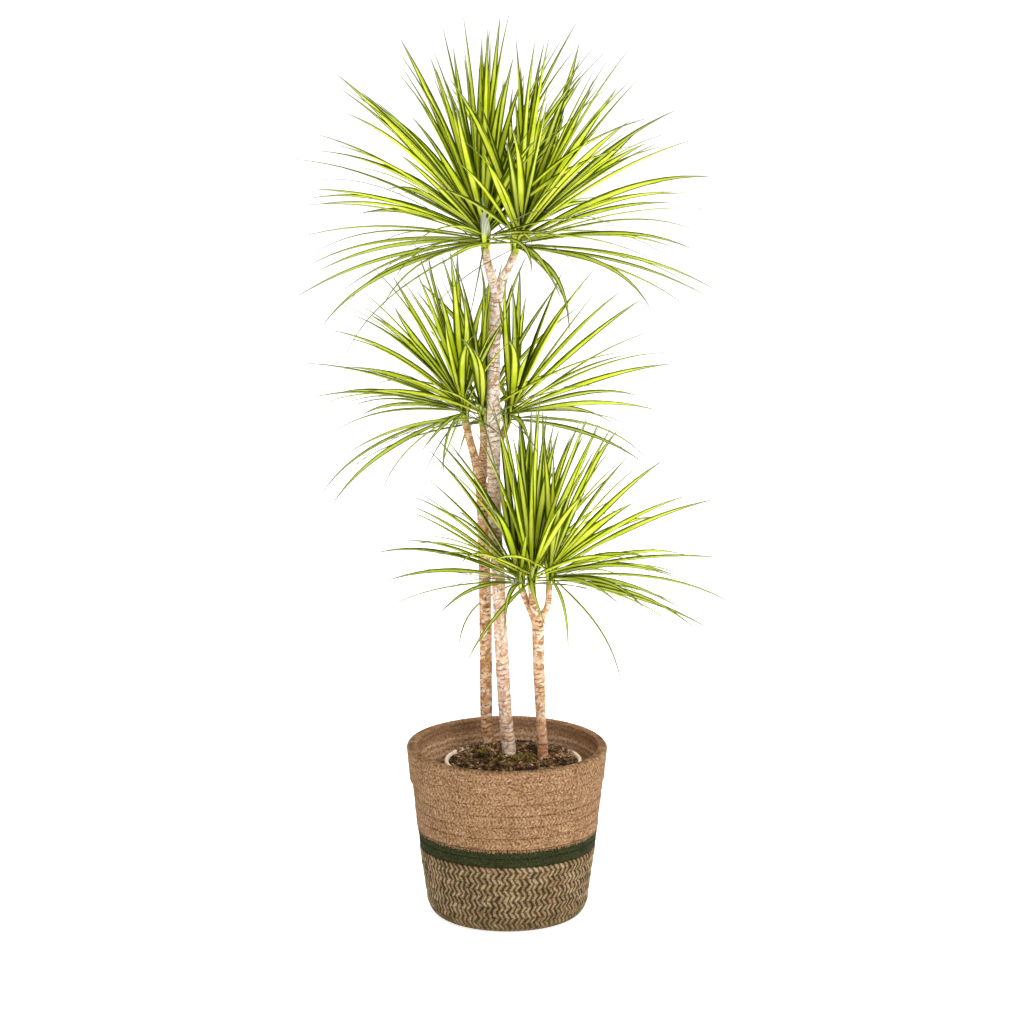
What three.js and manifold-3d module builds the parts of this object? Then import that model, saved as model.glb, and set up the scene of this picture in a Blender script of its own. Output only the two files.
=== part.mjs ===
// A dragon tree with three forked canes and eight leafy heads, in a nursery pot inside a
// coiled rope basket. Millimetres, +Z up, origin at the middle of the basket's flat base.
// Seen from the front, +X is to the right and +Y points away.

import * as THREE from 'three';
import { mergeVertices } from 'three/addons/utils/BufferGeometryUtils.js';
import Module from 'manifold-3d';

const wasm = await Module();
wasm.setup();

// ---------------------------------------------------------------- driving dimensions

const GAP = 0.3; // clear space between pieces that touch
const CRUMBS = [0.02, 0.012, 0.007, 0.004]; // edges as short as the first of these that can go

// Basket: courses of rope, sewn one on another, that lean outwards to the rim.
const BASKET_HEIGHT = 230;
const FOOT_RADIUS = 82;
const CORNER_RADIUS = 106;
const CORNER_HEIGHT = 28;
const RIM_RADIUS = 130;
const RIM_RISE = 5; // the rim stands this much higher at the back
const BELLY = 1.9;
const ROPE = 9;
const FLOOR = 10;
const STITCH_DEPTH = 1.8;
const CHEVRON = { low: 0, high: 96, courses: 6 };
const GREEN_BAND = { low: 96, high: 121, courses: 2 };
const JUTE = { low: 121, high: BASKET_HEIGHT, courses: 7 };
const BASKET_SIDES = 32;

// Nursery pot: a tapered plastic pot with a rolled lip, standing a little off centre.
const POT_SHIFT = 7.6;
const POT_FOOT_RADIUS = 68;
const POT_RADIUS = 88;
const POT_LIP = 2.7;
const POT_LIP_HEIGHT = 7;
const POT_TOP = 211;
const POT_WALL = 2.2;
const POT_SIDES = 30;

// Soil: level with the pot's lip, and heaped behind the canes.
const SOIL_EDGE = 207.5;
const SOIL_LUMP = 2.2;
const SOIL_RINGS = [0.92, 0.72, 0.5, 0.26];
const HEAPS = [
  { x: -25, y: 48, height: 16, spread: 26 },
  { x: 35, y: 55, height: 8, spread: 25 },
];

// Canes: points up the middle of each stem, as x, y, z and radius. A cane stands in the
// soil to the depth of its first point. Its branches begin inside its top.
const CANE_SIDES = 10;
const BRANCH_SIDES = 8;
const BRANCH_STEPS = 4;
const CANES = {
  cane_tall: {
    bark: { color: 0xc3aa92, roughness: 0.85 },
    trunk: [
      [3, 27, 112, 9.0], [2, 27, 207, 9.3], [-2, 26, 257, 8.8], [-7, 24, 337, 9.0], [-12, 21, 449, 8.8],
      [-17, 19, 544, 8.6], [-18, 16, 657, 8.9], [-18, 15, 735, 8.3], [-16, 13, 796, 7.9], [-14, 12, 832, 8.3],
      [-14, 12, 842, 5.4],
    ],
    branches: {
      head_tall_left: [[-14, 12, 826, 7.4], [-19, 12, 850, 6.2], [-26, 11, 876, 5.5], [-29, 11, 895, 5.6]],
      head_tall_right: [[-13, 12, 826, 7.2], [-8, 12, 849, 5.8], [3, 11, 872, 4.9], [10, 11, 889, 5.2]],
    },
  },
  cane_middle: {
    bark: { color: 0xa98b6a, roughness: 0.85 },
    trunk: [
      [-24, 50, 112, 8.0], [-25, 50, 217, 8.0], [-28, 49, 260, 8.1], [-29, 46, 387, 8.2],
      [-31, 44, 487, 7.8], [-33, 43, 552, 7.8], [-36, 42, 581, 8.4], [-36, 42, 590, 6],
    ],
    branches: {
      head_middle_left: [[-36, 42, 576, 7.2], [-42, 42, 606, 5.8], [-50, 41, 636, 5.1], [-56, 40, 663, 5.2]],
      head_middle_centre: [[-36, 42, 576, 7.0], [-33, 42, 604, 5.4], [-31, 41, 633, 4.9], [-32, 40, 655, 4.9]],
      head_middle_right: [[-35, 43, 576, 6.8], [-28, 49, 597, 5.0], [-14, 55, 621, 4.6], [0, 60, 651, 4.8]],
    },
  },
  cane_short: {
    bark: { color: 0xb08a62, roughness: 0.85 },
    trunk: [
      [48, 12, 112, 6.8], [47, 12, 205, 7.0], [44, 6, 269, 6.8], [41, 0, 343, 7.5], [40, -5, 399, 7.9],
      [40, -5, 407, 6],
    ],
    branches: {
      head_short_left: [[39, -5, 394, 6.2], [31, -3, 413, 4.8], [24, -1, 428, 4.4], [18, 0, 446, 4.6]],
      head_short_centre: [[39, -5, 394, 6.4], [36, -7, 414, 5.4], [33, -10, 431, 5.2], [32, -13, 449, 5.2]],
      head_short_right: [[41, -5, 394, 6.0], [46, -5, 408, 4.6], [53, -5, 423, 4.2], [55, -5, 454, 4.4]],
    },
  },
};

// Heads: the leaves of one growing tip. A long leaf that shows its tip from the front is
// listed by where that tip lies, in cm to the side and up from the head's base; it points
// forwards or back as far as its length asks. The rest fill the head by the golden angle.
// A spear is a young leaf at the front that is still rolled up.
const HEADS = {
  head_tall_left: {
    seed: 11, length: 290, width: 13, core: 42, fill: 26,
    spear: { turn: -118, lift: 80, length: 60, width: 15 },
    tips: [
      [3, 30.3], [-11, 28.7], [-5.2, 27.8], [-4.2, 28.3], [0.4, 27.8], [12.5, 9.5], [-19, 23], [-16.5, 22.5],
      [-17.5, 16.5], [3, 15], [-3.5, 17], [1.5, 26.5], [-18.5, 12], [-23.5, 7.5], [-22, 6.5], [-17, 6],
      [-21, 4], [-23.5, -2], [-21, -4.5], [-19.5, -5], [-24.5, -8], [-19, -8], [-20.5, -12], [-18.5, -14.5],
    ],
  },
  head_tall_right: {
    seed: 12, length: 285, width: 13, core: 42, fill: 24,
    tips: [
      [0.1, 27.6], [8.4, 29.4], [2.5, 26.5], [8.6, 25.3], [-0.8, 15], [-3, 5.5], [10, 23], [13.5, 23.5],
      [15.5, 22], [15.5, 19.5], [4, 18], [-7, 13], [10, 12], [16.5, 18], [20.5, 18], [17.5, 16], [18, 13],
      [12, 8.5], [25, 9], [22, 9], [19.5, 5], [21.5, 1.5], [22.5, -1], [26.5, -5], [24.5, -7], [23, -7],
      [17, -9.5], [8, -7.5], [6.5, -13],
    ],
  },
  head_middle_left: {
    seed: 13, length: 235, width: 12.4, core: 36, fill: 16,
    tips: [
      [-21, 7], [-16, 7.5], [-15, 10], [-13, 15], [-13, 16.5], [-9.5, 16], [-7.5, 17], [-3.5, 16], [0, 15.5],
      [-19.5, 2], [-16.5, 2.5], [-18, -2], [-13, -0.5], [-19, -11], [-17, -12.5], [-11.5, -11], [-5.5, -5.5],
      [-4, -8.5],
    ],
  },
  head_middle_centre: {
    seed: 14, length: 240, width: 12.4, core: 34, fill: 16,
    tips: [[-4.5, 24.5], [-0.5, 23], [2, 16.5], [-3.5, -4]],
  },
  head_middle_right: {
    seed: 28, length: 245, width: 12.4, core: 36, fill: 18,
    tips: [
      [0.5, 18], [2.5, 18.5], [11.5, 20.5], [18, 17.5], [15.5, 8.5], [22, 8.5], [20.5, 2], [15, 0],
      [17.5, -6],
    ],
  },
  head_short_left: {
    seed: 16, length: 225, width: 11.8, core: 30, fill: 16,
    tips: [
      [-14, 12], [-14.5, 10], [-15, 6], [-17.5, 0.5], [-10.5, -4], [-8, -9], [-2, -7], [-12, 18.5],
      [-8.5, 18],
    ],
  },
  head_short_centre: {
    seed: 17, length: 255, width: 11.8, core: 34, fill: 18,
    tips: [[-5.5, 25], [-2, 25.5], [1, 26], [2.5, 21], [7.5, 24], [9, 23]],
  },
  head_short_right: {
    seed: 18, length: 240, width: 11.8, core: 32, fill: 14,
    tips: [
      [8, 18], [15.5, 17], [11.5, 15.5], [11.5, 11], [21.5, 11], [14.5, 9], [22.5, 3], [18.5, 3.5],
      [12.5, 3], [17.5, 0.5], [25, -4], [10.5, 0], [9, -3.5], [17, -4], [12, -4], [21.5, -7], [19, -7],
      [17.5, -7.5], [9.5, -15.5],
    ],
  },
};
const LEAF_COLOR = 0x8fae1c;
const CORE_COLLAR = 1.6; // how much thicker a growing tip is than the end of its branch
const CORE_TIP_RADIUS = 4.8;
const CORE_SIDES = 8;
const ROOT_OUT = 3.8; // a leaf starts this far from the middle of its core
const LEAF_THICKNESS = 1.5;
const OLD_WIDTH = 0.55; // the width of an old, drooping leaf beside that of a young one
const SWEEP = 24; // how far a leaf may swing to the side along its length, in degrees
const PATH_STEPS = 24;
const STATIONS = [0, 5, 11, 18, 24];
const SIGHT_SLOPE = 0.26; // how far a sight line from the front falls for each unit it goes back
const GOLDEN_ANGLE = 137.508;
const RIM_CLEARANCE = 255; // no leaf hangs lower than this
const LEAF_MARGIN = 0.45;

// Ways to bend a leaf clear of what grows near it, in the order they are tried:
// a turn and a lift in degrees, and a share of its length.
const WAYS_CLEAR = [
  [0, 0, 1], [0, 6, 1], [0, -6, 1], [8, 0, 1], [-8, 0, 1], [13, 7, 1], [-13, 7, 1], [18, -7, 0.95], [-18, -7, 0.95],
  [26, 9, 0.9], [-26, 9, 0.9], [6, 14, 0.75], [34, -5, 0.75], [-34, -5, 0.75],
];

// ---------------------------------------------------------------- solids

/** One closed surface: the geometry's near corners merged, and its collapsed triangles dropped. */
function weld(geometry, near) {
  geometry.deleteAttribute('normal');
  geometry.deleteAttribute('uv');
  const merged = mergeVertices(geometry, near);
  const corners = merged.index.array;
  const kept = [];
  for (let i = 0; i < corners.length; i += 3) {
    const [a, b, c] = corners.slice(i, i + 3);
    if (a !== b && b !== c && c !== a) kept.push(a, b, c);
  }
  return { vertProperties: new Float32Array(merged.attributes.position.array), triVerts: kept };
}

/** A geometry as a solid that can be joined and cut, its faces turned outwards. */
function solidOf(geometry, near = 1e-4) {
  const { vertProperties, triVerts } = weld(geometry, near);
  const make = (corners) =>
    new wasm.Manifold(new wasm.Mesh({ numProp: 3, vertProperties, triVerts: new Uint32Array(corners) }));
  const solid = make(triVerts);
  return solid.volume() > 0 ? solid : make(triVerts.reverse());
}

/** The largest piece of a solid, with any hollow that joining sealed inside it filled. */
function whole(solid) {
  const pieces = solid.decompose();
  return pieces.reduce((best, piece) => (piece.volume() > best.volume() ? piece : best));
}

/** The surface of a solid. */
function surfaceOf(solid) {
  const { vertProperties, triVerts } = solid.getMesh();
  const geometry = new THREE.BufferGeometry();
  geometry.setAttribute('position', new THREE.BufferAttribute(vertProperties, 3));
  geometry.setIndex(new THREE.BufferAttribute(triVerts, 1));
  return geometry;
}

/** Whether every side of a triangle is met by just one other, as on a surface with no gap or fold. */
function isClosed(corners) {
  const sides = new Set();
  for (let i = 0; i < corners.length; i += 3) {
    [0, 1, 2].forEach((k) => sides.add(`${corners[i + k]} ${corners[i + ((k + 1) % 3)]}`));
  }
  const matched = [...sides].every((side) => sides.has(side.split(' ').reverse().join(' ')));
  return matched && sides.size === corners.length;
}

/** The same solid without the shortest edges, the crumbs that crossing faces leave. */
function withoutCrumbs(solid) {
  const near = CRUMBS.find((size) => isClosed(weld(surfaceOf(solid), size).triVerts));
  return near ? whole(solidOf(surfaceOf(solid), near)) : solid;
}

/** A named mesh of a solid. */
function meshOf(name, solid, look) {
  const geometry = surfaceOf(solid);
  geometry.computeVertexNormals();
  const mesh = new THREE.Mesh(geometry, new THREE.MeshStandardMaterial({ metalness: 0, ...look }));
  mesh.name = name;
  return mesh;
}

/** A profile of radius and height turned about a vertical axis. */
function turned(profile, sides) {
  const points = profile.map(([radius, height]) => new THREE.Vector2(radius, height));
  return new THREE.LatheGeometry(points, sides).rotateX(Math.PI / 2);
}

/**
 * A closed cylinder whose rings are carried to new places: ring k of the side, at the given
 * angle round it, goes to place(k, angle), and the middles of its ends go to place(k, null).
 */
function carried(sides, steps, topRadius, place) {
  const geometry = new THREE.CylinderGeometry(topRadius, 1, 1, sides, steps);
  const position = geometry.attributes.position;
  for (let i = 0; i < position.count; i += 1) {
    const ring = Math.round((position.getY(i) + 0.5) * steps);
    const onAxis = Math.hypot(position.getX(i), position.getZ(i)) < 1e-6;
    const angle = onAxis ? null : Math.atan2(position.getX(i), position.getZ(i));
    const { x, y, z } = place(ring, angle);
    position.setXYZ(i, x, y, z);
  }
  return geometry;
}

// ---------------------------------------------------------------- basket

/** Outer radius of the basket: a straight taper with a slight belly over a rounded corner. */
function wallRadius(height) {
  if (height < CORNER_HEIGHT) {
    const left = 1 - height / CORNER_HEIGHT;
    return FOOT_RADIUS + (CORNER_RADIUS - FOOT_RADIUS) * Math.sqrt(1 - left * left);
  }
  const share = (height - CORNER_HEIGHT) / (BASKET_HEIGHT - CORNER_HEIGHT);
  return CORNER_RADIUS + (RIM_RADIUS - CORNER_RADIUS) * share + BELLY * Math.sin(Math.PI * share);
}

/** The outside of a stack of courses: each bulges between two stitched grooves. */
function coursesProfile({ low, high, courses }, from, to) {
  const rise = (high - low) / courses;
  const points = [];
  for (let course = 0; course < courses; course += 1) {
    const z = low + course * rise;
    if (course > 0) points.push([wallRadius(z) - STITCH_DEPTH, z]);
    points.push([wallRadius(z + rise * 0.2), z + rise * 0.2]);
    points.push([wallRadius(z + rise * 0.8), z + rise * 0.8]);
  }
  const foot = low > 0 ? [[wallRadius(from) - STITCH_DEPTH, from]] : [];
  return [...foot, ...points, [wallRadius(to) - STITCH_DEPTH, to]];
}

/** A course stack that is open above and below, as one closed ring. */
function ringProfile(stack, from, to) {
  const outside = coursesProfile(stack, from, to);
  const inside = [[wallRadius(to) - ROPE, to], [wallRadius(from) - ROPE, from]];
  return [...outside, ...inside, outside[0]];
}

/** A ring of wall lifted towards the back, from nothing at the bottom of its stack to the rim's rise. */
function liftedBack(ring, { low, high }) {
  const position = ring.attributes.position;
  for (let i = 0; i < position.count; i += 1) {
    const [x, y, z] = [position.getX(i), position.getY(i), position.getZ(i)];
    const back = (1 + y / Math.hypot(x, y)) / 2;
    position.setZ(i, z + (RIM_RISE * back * (z - low)) / (high - low));
  }
  return ring;
}

function buildBasket() {
  const chevronTop = CHEVRON.high - GAP / 2;
  const innerFoot = wallRadius(FLOOR) - ROPE;
  const innerCorner = wallRadius(CORNER_HEIGHT) - ROPE;
  const cup = [
    [0, 0],
    [FOOT_RADIUS, 0],
    ...coursesProfile(CHEVRON, 0, chevronTop),
    [wallRadius(chevronTop) - ROPE, chevronTop],
    [innerCorner, CORNER_HEIGHT],
    [innerFoot, FLOOR],
    [0, FLOOR],
  ];
  const band = ringProfile(GREEN_BAND, GREEN_BAND.low + GAP / 2, GREEN_BAND.high - GAP / 2);
  const collarBase = JUTE.low + GAP / 2;
  const rimRound = ROPE / 2;
  const jute = coursesProfile(JUTE, collarBase, BASKET_HEIGHT).slice(0, -1);
  const upper = [
    ...jute.slice(0, -1),
    [RIM_RADIUS, BASKET_HEIGHT - rimRound],
    [RIM_RADIUS - rimRound * 0.5, BASKET_HEIGHT],
    [RIM_RADIUS - rimRound * 1.5, BASKET_HEIGHT],
    [RIM_RADIUS - ROPE, BASKET_HEIGHT - rimRound],
    [wallRadius(collarBase) - ROPE, collarBase],
    jute[0],
  ];
  const wall = liftedBack(turned(upper, BASKET_SIDES), JUTE);
  return [
    meshOf('basket_chevron_base', solidOf(turned(cup, BASKET_SIDES)), { color: 0x7d6a45, roughness: 0.95 }),
    meshOf('basket_green_band', solidOf(turned(band, BASKET_SIDES)), { color: 0x2f4420, roughness: 0.95 }),
    meshOf('basket_jute_wall', solidOf(wall), { color: 0xb08257, roughness: 0.95 }),
  ];
}

// ---------------------------------------------------------------- nursery pot and soil

/** Inner radius of the nursery pot at a height. */
function potInside(height) {
  const share = (height - FLOOR) / (POT_TOP - FLOOR);
  return POT_FOOT_RADIUS + (POT_RADIUS - POT_FOOT_RADIUS) * share - POT_WALL;
}

function buildPot() {
  const foot = FLOOR + GAP;
  const inside = foot + POT_WALL;
  const neck = POT_TOP - POT_LIP_HEIGHT;
  const profile = [
    [0, foot],
    [POT_FOOT_RADIUS, foot],
    [potInside(neck) + POT_WALL, neck],
    [POT_RADIUS + POT_LIP, neck],
    [POT_RADIUS + POT_LIP, POT_TOP],
    [potInside(POT_TOP), POT_TOP],
    [potInside(inside), inside],
    [0, inside],
  ];
  const pot = turned(profile, POT_SIDES).translate(POT_SHIFT, 0, 0);
  return meshOf('nursery_pot', solidOf(pot), { color: 0xe9e4da, roughness: 0.5 });
}

/** Height of the soil: heaped in places, with lumps that fade out at the pot's wall. */
function soilHeight(x, y, share) {
  const heaped = HEAPS.reduce((sum, heap) => {
    const away = Math.hypot(x - heap.x, y - heap.y) / heap.spread;
    return sum + heap.height * Math.exp(-away * away);
  }, 0);
  const lumps = SOIL_LUMP * Math.sin(x * 0.19 + 1) * Math.cos(y * 0.23 + x * 0.05);
  const inner = 1 - share ** 4;
  return SOIL_EDGE + (heaped + lumps) * inner;
}

function buildSoil(holes) {
  const foot = FLOOR + GAP + POT_WALL + GAP;
  const edge = potInside(SOIL_EDGE) - GAP;
  const profile = [
    [0, foot],
    [potInside(foot) - GAP, foot],
    [edge, SOIL_EDGE],
    ...SOIL_RINGS.map((share) => [edge * share, SOIL_EDGE + 1]),
    [0, SOIL_EDGE + 1],
  ];
  const soil = turned(profile, POT_SIDES);
  const position = soil.attributes.position;
  for (let i = 0; i < position.count; i += 1) {
    const [x, y] = [position.getX(i), position.getY(i)];
    const share = Math.hypot(x, y) / edge;
    if (position.getZ(i) > SOIL_EDGE) position.setZ(i, soilHeight(x + POT_SHIFT, y, share));
  }
  const filled = solidOf(soil.translate(POT_SHIFT, 0, 0));
  const holed = holes.reduce((rest, hole) => rest.subtract(hole), filled);
  return meshOf('soil', whole(holed), { color: 0x3d2c1b, roughness: 1 });
}

// ---------------------------------------------------------------- canes

/** Points and radii at even steps along a smooth curve through a stem's points. */
function stemRings(points, steps) {
  const middles = points.map(([x, y, z]) => new THREE.Vector3(x, y, z));
  const curve = new THREE.CatmullRomCurve3(middles, false, 'catmullrom', 0.5);
  const rings = [];
  for (let i = 0; i <= steps; i += 1) {
    const along = (i / steps) * (points.length - 1);
    const before = Math.min(Math.floor(along), points.length - 2);
    const share = along - before;
    const radius = points[before][3] * (1 - share) + points[before + 1][3] * share;
    rings.push({ middle: curve.getPoint(i / steps), ahead: curve.getTangent(i / steps), radius });
  }
  return rings;
}

/** A round stem along its points, grown by a clearance where it is to cut a hole. */
function stem(points, sides, steps, grow = 0) {
  const rings = stemRings(points, steps);
  return carried(sides, steps, 1, (k, angle) => {
    const { middle, ahead, radius } = rings[k];
    const point = middle.clone();
    if (k === 0) point.addScaledVector(ahead, -grow);
    if (angle === null) return point;
    const right = new THREE.Vector3(0, 1, 0).cross(ahead).normalize();
    const forward = new THREE.Vector3().crossVectors(ahead, right);
    point.addScaledVector(right, Math.cos(angle) * (radius + grow));
    return point.addScaledVector(forward, Math.sin(angle) * (radius + grow));
  });
}

function buildCane({ trunk, branches }) {
  let cane = solidOf(stem(trunk, CANE_SIDES, trunk.length - 1));
  Object.values(branches).forEach((points) => {
    cane = cane.add(solidOf(stem(points, BRANCH_SIDES, BRANCH_STEPS)));
  });
  return whole(cane);
}

// ---------------------------------------------------------------- leaves

/** Seeded random numbers from 0 to 1. */
function randomFrom(seed) {
  let state = seed;
  return () => {
    state = (state + 0x6d2b79f5) | 0;
    let mixed = Math.imul(state ^ (state >>> 15), 1 | state);
    mixed = (mixed + Math.imul(mixed ^ (mixed >>> 7), 61 | mixed)) ^ mixed;
    return ((mixed ^ (mixed >>> 14)) >>> 0) / 4294967296;
  };
}

const radians = THREE.MathUtils.degToRad;
const blend = THREE.MathUtils.lerp;
const held = THREE.MathUtils.clamp;

/** Width of a leaf at a share s of its length: a narrow sheath, widest at two fifths, a long thin tip. */
function leafWidth(s) {
  const widest = 0.38;
  if (s < widest) return blend(0.42, 1, Math.sin((s / widest) * (Math.PI / 2)));
  return 1 - ((s - widest) / (1 - widest)) ** 1.45;
}

/**
 * The direction that a leaf heads in at a share s of its length. It swings by `sweep` as the
 * square of s, less a third, the mean of that square, so that the whole leaf still points at `turn`.
 */
function headingOf({ turn, sweep }, s) {
  return turn + sweep * (s * s - 1 / 3);
}

/** A leaf's middle line: it leaves its root at `lift` and falls by `bend` as the square of s. */
function leafPath(leaf) {
  const { root, turn, lift, bend, length } = leaf;
  const outwards = new THREE.Vector3(Math.cos(turn), Math.sin(turn), 0).multiplyScalar(ROOT_OUT);
  const points = [root.clone().add(outwards)];
  const step = length / PATH_STEPS;
  for (let i = 0; i < PATH_STEPS; i += 1) {
    const s = (i + 0.5) / PATH_STEPS;
    const slope = lift - bend * s * s;
    const heading = headingOf(leaf, s);
    const level = Math.cos(slope) * step;
    const last = points[i];
    const next = new THREE.Vector3(
      last.x + level * Math.cos(heading),
      last.y + level * Math.sin(heading),
      last.z + Math.sin(slope) * step,
    );
    points.push(next);
  }
  return points;
}

/** The stations of a leaf's blade: its middle, the directions across and out of it, and its width. */
function leafStations(leaf) {
  const path = leafPath(leaf);
  return STATIONS.map((index) => {
    const s = index / PATH_STEPS;
    const slope = leaf.lift - leaf.bend * s * s;
    const heading = headingOf(leaf, s);
    const [c, d] = [Math.cos(heading), Math.sin(heading)];
    const side = new THREE.Vector3(-d, c, 0);
    const face = new THREE.Vector3(-Math.sin(slope) * c, -Math.sin(slope) * d, Math.cos(slope));
    const twist = leaf.twist * Math.min(1, s * 2);
    const across = side.clone().multiplyScalar(Math.cos(twist)).addScaledVector(face, Math.sin(twist));
    const out = face.clone().multiplyScalar(Math.cos(twist)).addScaledVector(side, -Math.sin(twist));
    return { middle: path[index], across, out, width: leaf.width * leafWidth(s) };
  });
}

/**
 * A leaf's blade: three-sided, flat above and keeled below, drawn out to a point. A twisted side
 * splits into triangles in two ways, and the fuller blade is the one whose walls stay apart.
 */
function blade(stations) {
  const last = stations.length - 1;
  const [right, left, keel] = [[0.5, 0.35], [-0.5, 0.35], [0, -0.65]];
  const ways = [[right, left, keel], [left, right, keel]].map((section) => {
    const sides = carried(3, last, 0, (k, angle) => {
      const { middle, across, out, width } = stations[k];
      if (angle === null || k === last) return middle;
      const corner = (Math.round((angle / (2 * Math.PI)) * 3) + 3) % 3;
      const [side, up] = section[corner];
      const thickness = LEAF_THICKNESS * blend(1, 0.55, k / last);
      return middle.clone().addScaledVector(across, side * width).addScaledVector(out, up * thickness);
    });
    return solidOf(sides);
  });
  return ways.reduce((best, way) => (way.volume() > best.volume() ? way : best));
}

/** How a leaf's bend turns and shortens the straight line from its root to its tip. */
function chordOf(bend) {
  const start = new THREE.Vector3(-ROOT_OUT, 0, 0);
  const flat = leafPath({ root: start, turn: 0, lift: 0, bend, sweep: 0, length: 1 }).at(-1);
  return { fall: Math.atan2(-flat.z, flat.x), share: Math.hypot(flat.x, flat.z) };
}

/** The leaf from a root to a tip that is seen at (side, up), set back or forward by its length. */
function leafToTip(root, base, side, up, bend, length, behind) {
  const { fall, share } = chordOf(bend);
  const x = base.x + side - root.x;
  const rise = base.z + up - root.z;
  const reach = length * share;
  const square = 1 + SIGHT_SLOPE * SIGHT_SLOPE;
  const middle = (SIGHT_SLOPE * rise) / square;
  const room = middle * middle - (x * x + rise * rise - reach * reach) / square;
  const back = room > 0 ? middle + behind * Math.sqrt(room) : 0;
  const z = rise - SIGHT_SLOPE * back;
  const level = Math.hypot(x, back);
  return {
    turn: Math.atan2(back, x),
    lift: Math.atan2(z, level) + fall,
    length: Math.hypot(level, z) / share,
  };
}

/** Shortest distance between two straight pieces, each from a start along a run. */
function apart(startA, runA, startB, runB) {
  const between = new THREE.Vector3().subVectors(startA, startB);
  const a = runA.dot(runA);
  const e = runB.dot(runB);
  const f = runB.dot(between);
  const c = runA.dot(between);
  const b = runA.dot(runB);
  const crossed = a * e - b * b;
  let s = crossed > 1e-9 ? held((b * f - c * e) / crossed, 0, 1) : 0;
  const t = held((b * s + f) / e, 0, 1);
  s = held((b * t - c) / a, 0, 1);
  return between.addScaledVector(runA, s).addScaledVector(runB, -t).length();
}

/** The rails that cover a blade: three lines along it, each with the radius of its share. */
function railsOf(stations) {
  const rails = [];
  for (let k = 0; k + 1 < stations.length; k += 1) {
    const [near, far] = [stations[k], stations[k + 1]];
    [-1, 0, 1].forEach((lane) => {
      const start = near.middle.clone().addScaledVector(near.across, (lane * near.width) / 3);
      const end = far.middle.clone().addScaledVector(far.across, (lane * far.width) / 3);
      rails.push({ start, run: end.sub(start), radius: Math.max(near.width, far.width) / 6 + LEAF_MARGIN });
    });
  }
  return rails;
}

/** The rails of a stem: its middle line, with its radius. */
function stemRails(points, steps) {
  const rings = stemRings(points, steps);
  return rings.slice(1).map((ring, i) => ({
    start: rings[i].middle,
    run: ring.middle.clone().sub(rings[i].middle),
    radius: Math.max(ring.radius, rings[i].radius) + LEAF_MARGIN,
  }));
}

/** A box round a list of rails. */
function boxOf(rails) {
  const box = new THREE.Box3();
  rails.forEach(({ start, run, radius }) => {
    box.union(new THREE.Box3().setFromPoints([start, start.clone().add(run)]).expandByScalar(radius));
  });
  return box;
}

/** Whether a leaf's rails keep clear of every obstacle that isn't its own head's. */
function isClear(rails, owner, obstacles) {
  const box = boxOf(rails);
  if (box.min.z < RIM_CLEARANCE) return false;
  return obstacles.every((obstacle) => {
    if (obstacle.owner === owner || !obstacle.box.intersectsBox(box)) return true;
    return obstacle.rails.every((other) =>
      rails.every((rail) => apart(rail.start, rail.run, other.start, other.run) > rail.radius + other.radius),
    );
  });
}

/** Where a head stands: its base on its branch's end, and the direction that it grows in. */
function headPlace(branch) {
  const [before, end] = branch.slice(-2).map(([x, y, z]) => new THREE.Vector3(x, y, z));
  const axis = end.clone().sub(before).normalize().lerp(new THREE.Vector3(0, 0, 1), 0.5).normalize();
  const ahead = stemRings(branch, BRANCH_STEPS).at(-1).ahead;
  return { base: end.clone().addScaledVector(ahead, GAP), axis, ahead };
}

/** The leaves that a head would like to have, each as a list of the same leaf to either side. */
function wishedLeaves(head, place) {
  const random = randomFrom(head.seed);
  const spread = (low, high) => blend(low, high, random());
  const wishes = head.tips.map(([side, up], i) => {
    const steep = held(Math.atan2(up, Math.abs(side)) / (Math.PI / 2), -0.6, 1);
    const bend = radians(blend(26, 8, Math.max(0, steep)) - 24 * Math.min(0, steep) + spread(-6, 8));
    const root = place.base.clone().addScaledVector(place.axis, head.core * held(0.3 + steep * 0.6, 0.16, 0.9));
    const length = head.length * spread(0.94, 1.05);
    const width = head.width * blend(OLD_WIDTH, 1, held(0.4 + steep * 1.5, 0, 1)) * spread(0.84, 1.1);
    const lean = radians(spread(12, 48));
    const sweep = radians(spread(-SWEEP, SWEEP));
    const first = i % 2 === 0 ? -1 : 1;
    return [first, -first].map((behind) => {
      const aim = leafToTip(root, place.base, side * 10, up * 10, bend, length, behind);
      return { root, bend, sweep, width, twist: Math.cos(aim.turn) > 0 ? lean : -lean, ...aim };
    });
  });
  if (head.spear) {
    const { turn, lift, length, width } = head.spear;
    const root = place.base.clone().addScaledVector(place.axis, head.core * 0.2);
    const straight = { bend: 0, sweep: 0, twist: 0 };
    wishes.unshift([{ root, turn: radians(turn), lift: radians(lift), length, width, ...straight }]);
  }
  const start = spread(0, 360);
  for (let i = 0; i < head.fill; i += 1) {
    const age = 1 - (i + 0.5) / head.fill; // 1 for the lowest, oldest leaf and 0 for the youngest
    const root = place.base.clone().addScaledVector(place.axis, head.core * blend(0.92, 0.18, age));
    const leaf = {
      root,
      turn: radians(start + i * GOLDEN_ANGLE + spread(-14, 14)),
      lift: radians(blend(84, -2, age ** 0.8) + spread(-6, 6)),
      bend: radians(blend(8, 42, age) + spread(-7, 9)),
      sweep: radians(spread(-SWEEP, SWEEP)),
      length: head.length * blend(0.8, 0.96, Math.min(1, age * 2)) * spread(0.88, 1.04),
      width: head.width * blend(1, OLD_WIDTH, held(age * 2 - 0.8, 0, 1)) * spread(0.84, 1.06),
      twist: radians(spread(-42, 42)),
    };
    wishes.push([leaf]);
  }
  return wishes;
}

/** The leaf bent as a way says. */
function bentClear(leaf, [turn, lift, share]) {
  return {
    ...leaf,
    turn: leaf.turn + radians(turn),
    lift: leaf.lift + radians(lift),
    length: leaf.length * share,
  };
}

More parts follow.
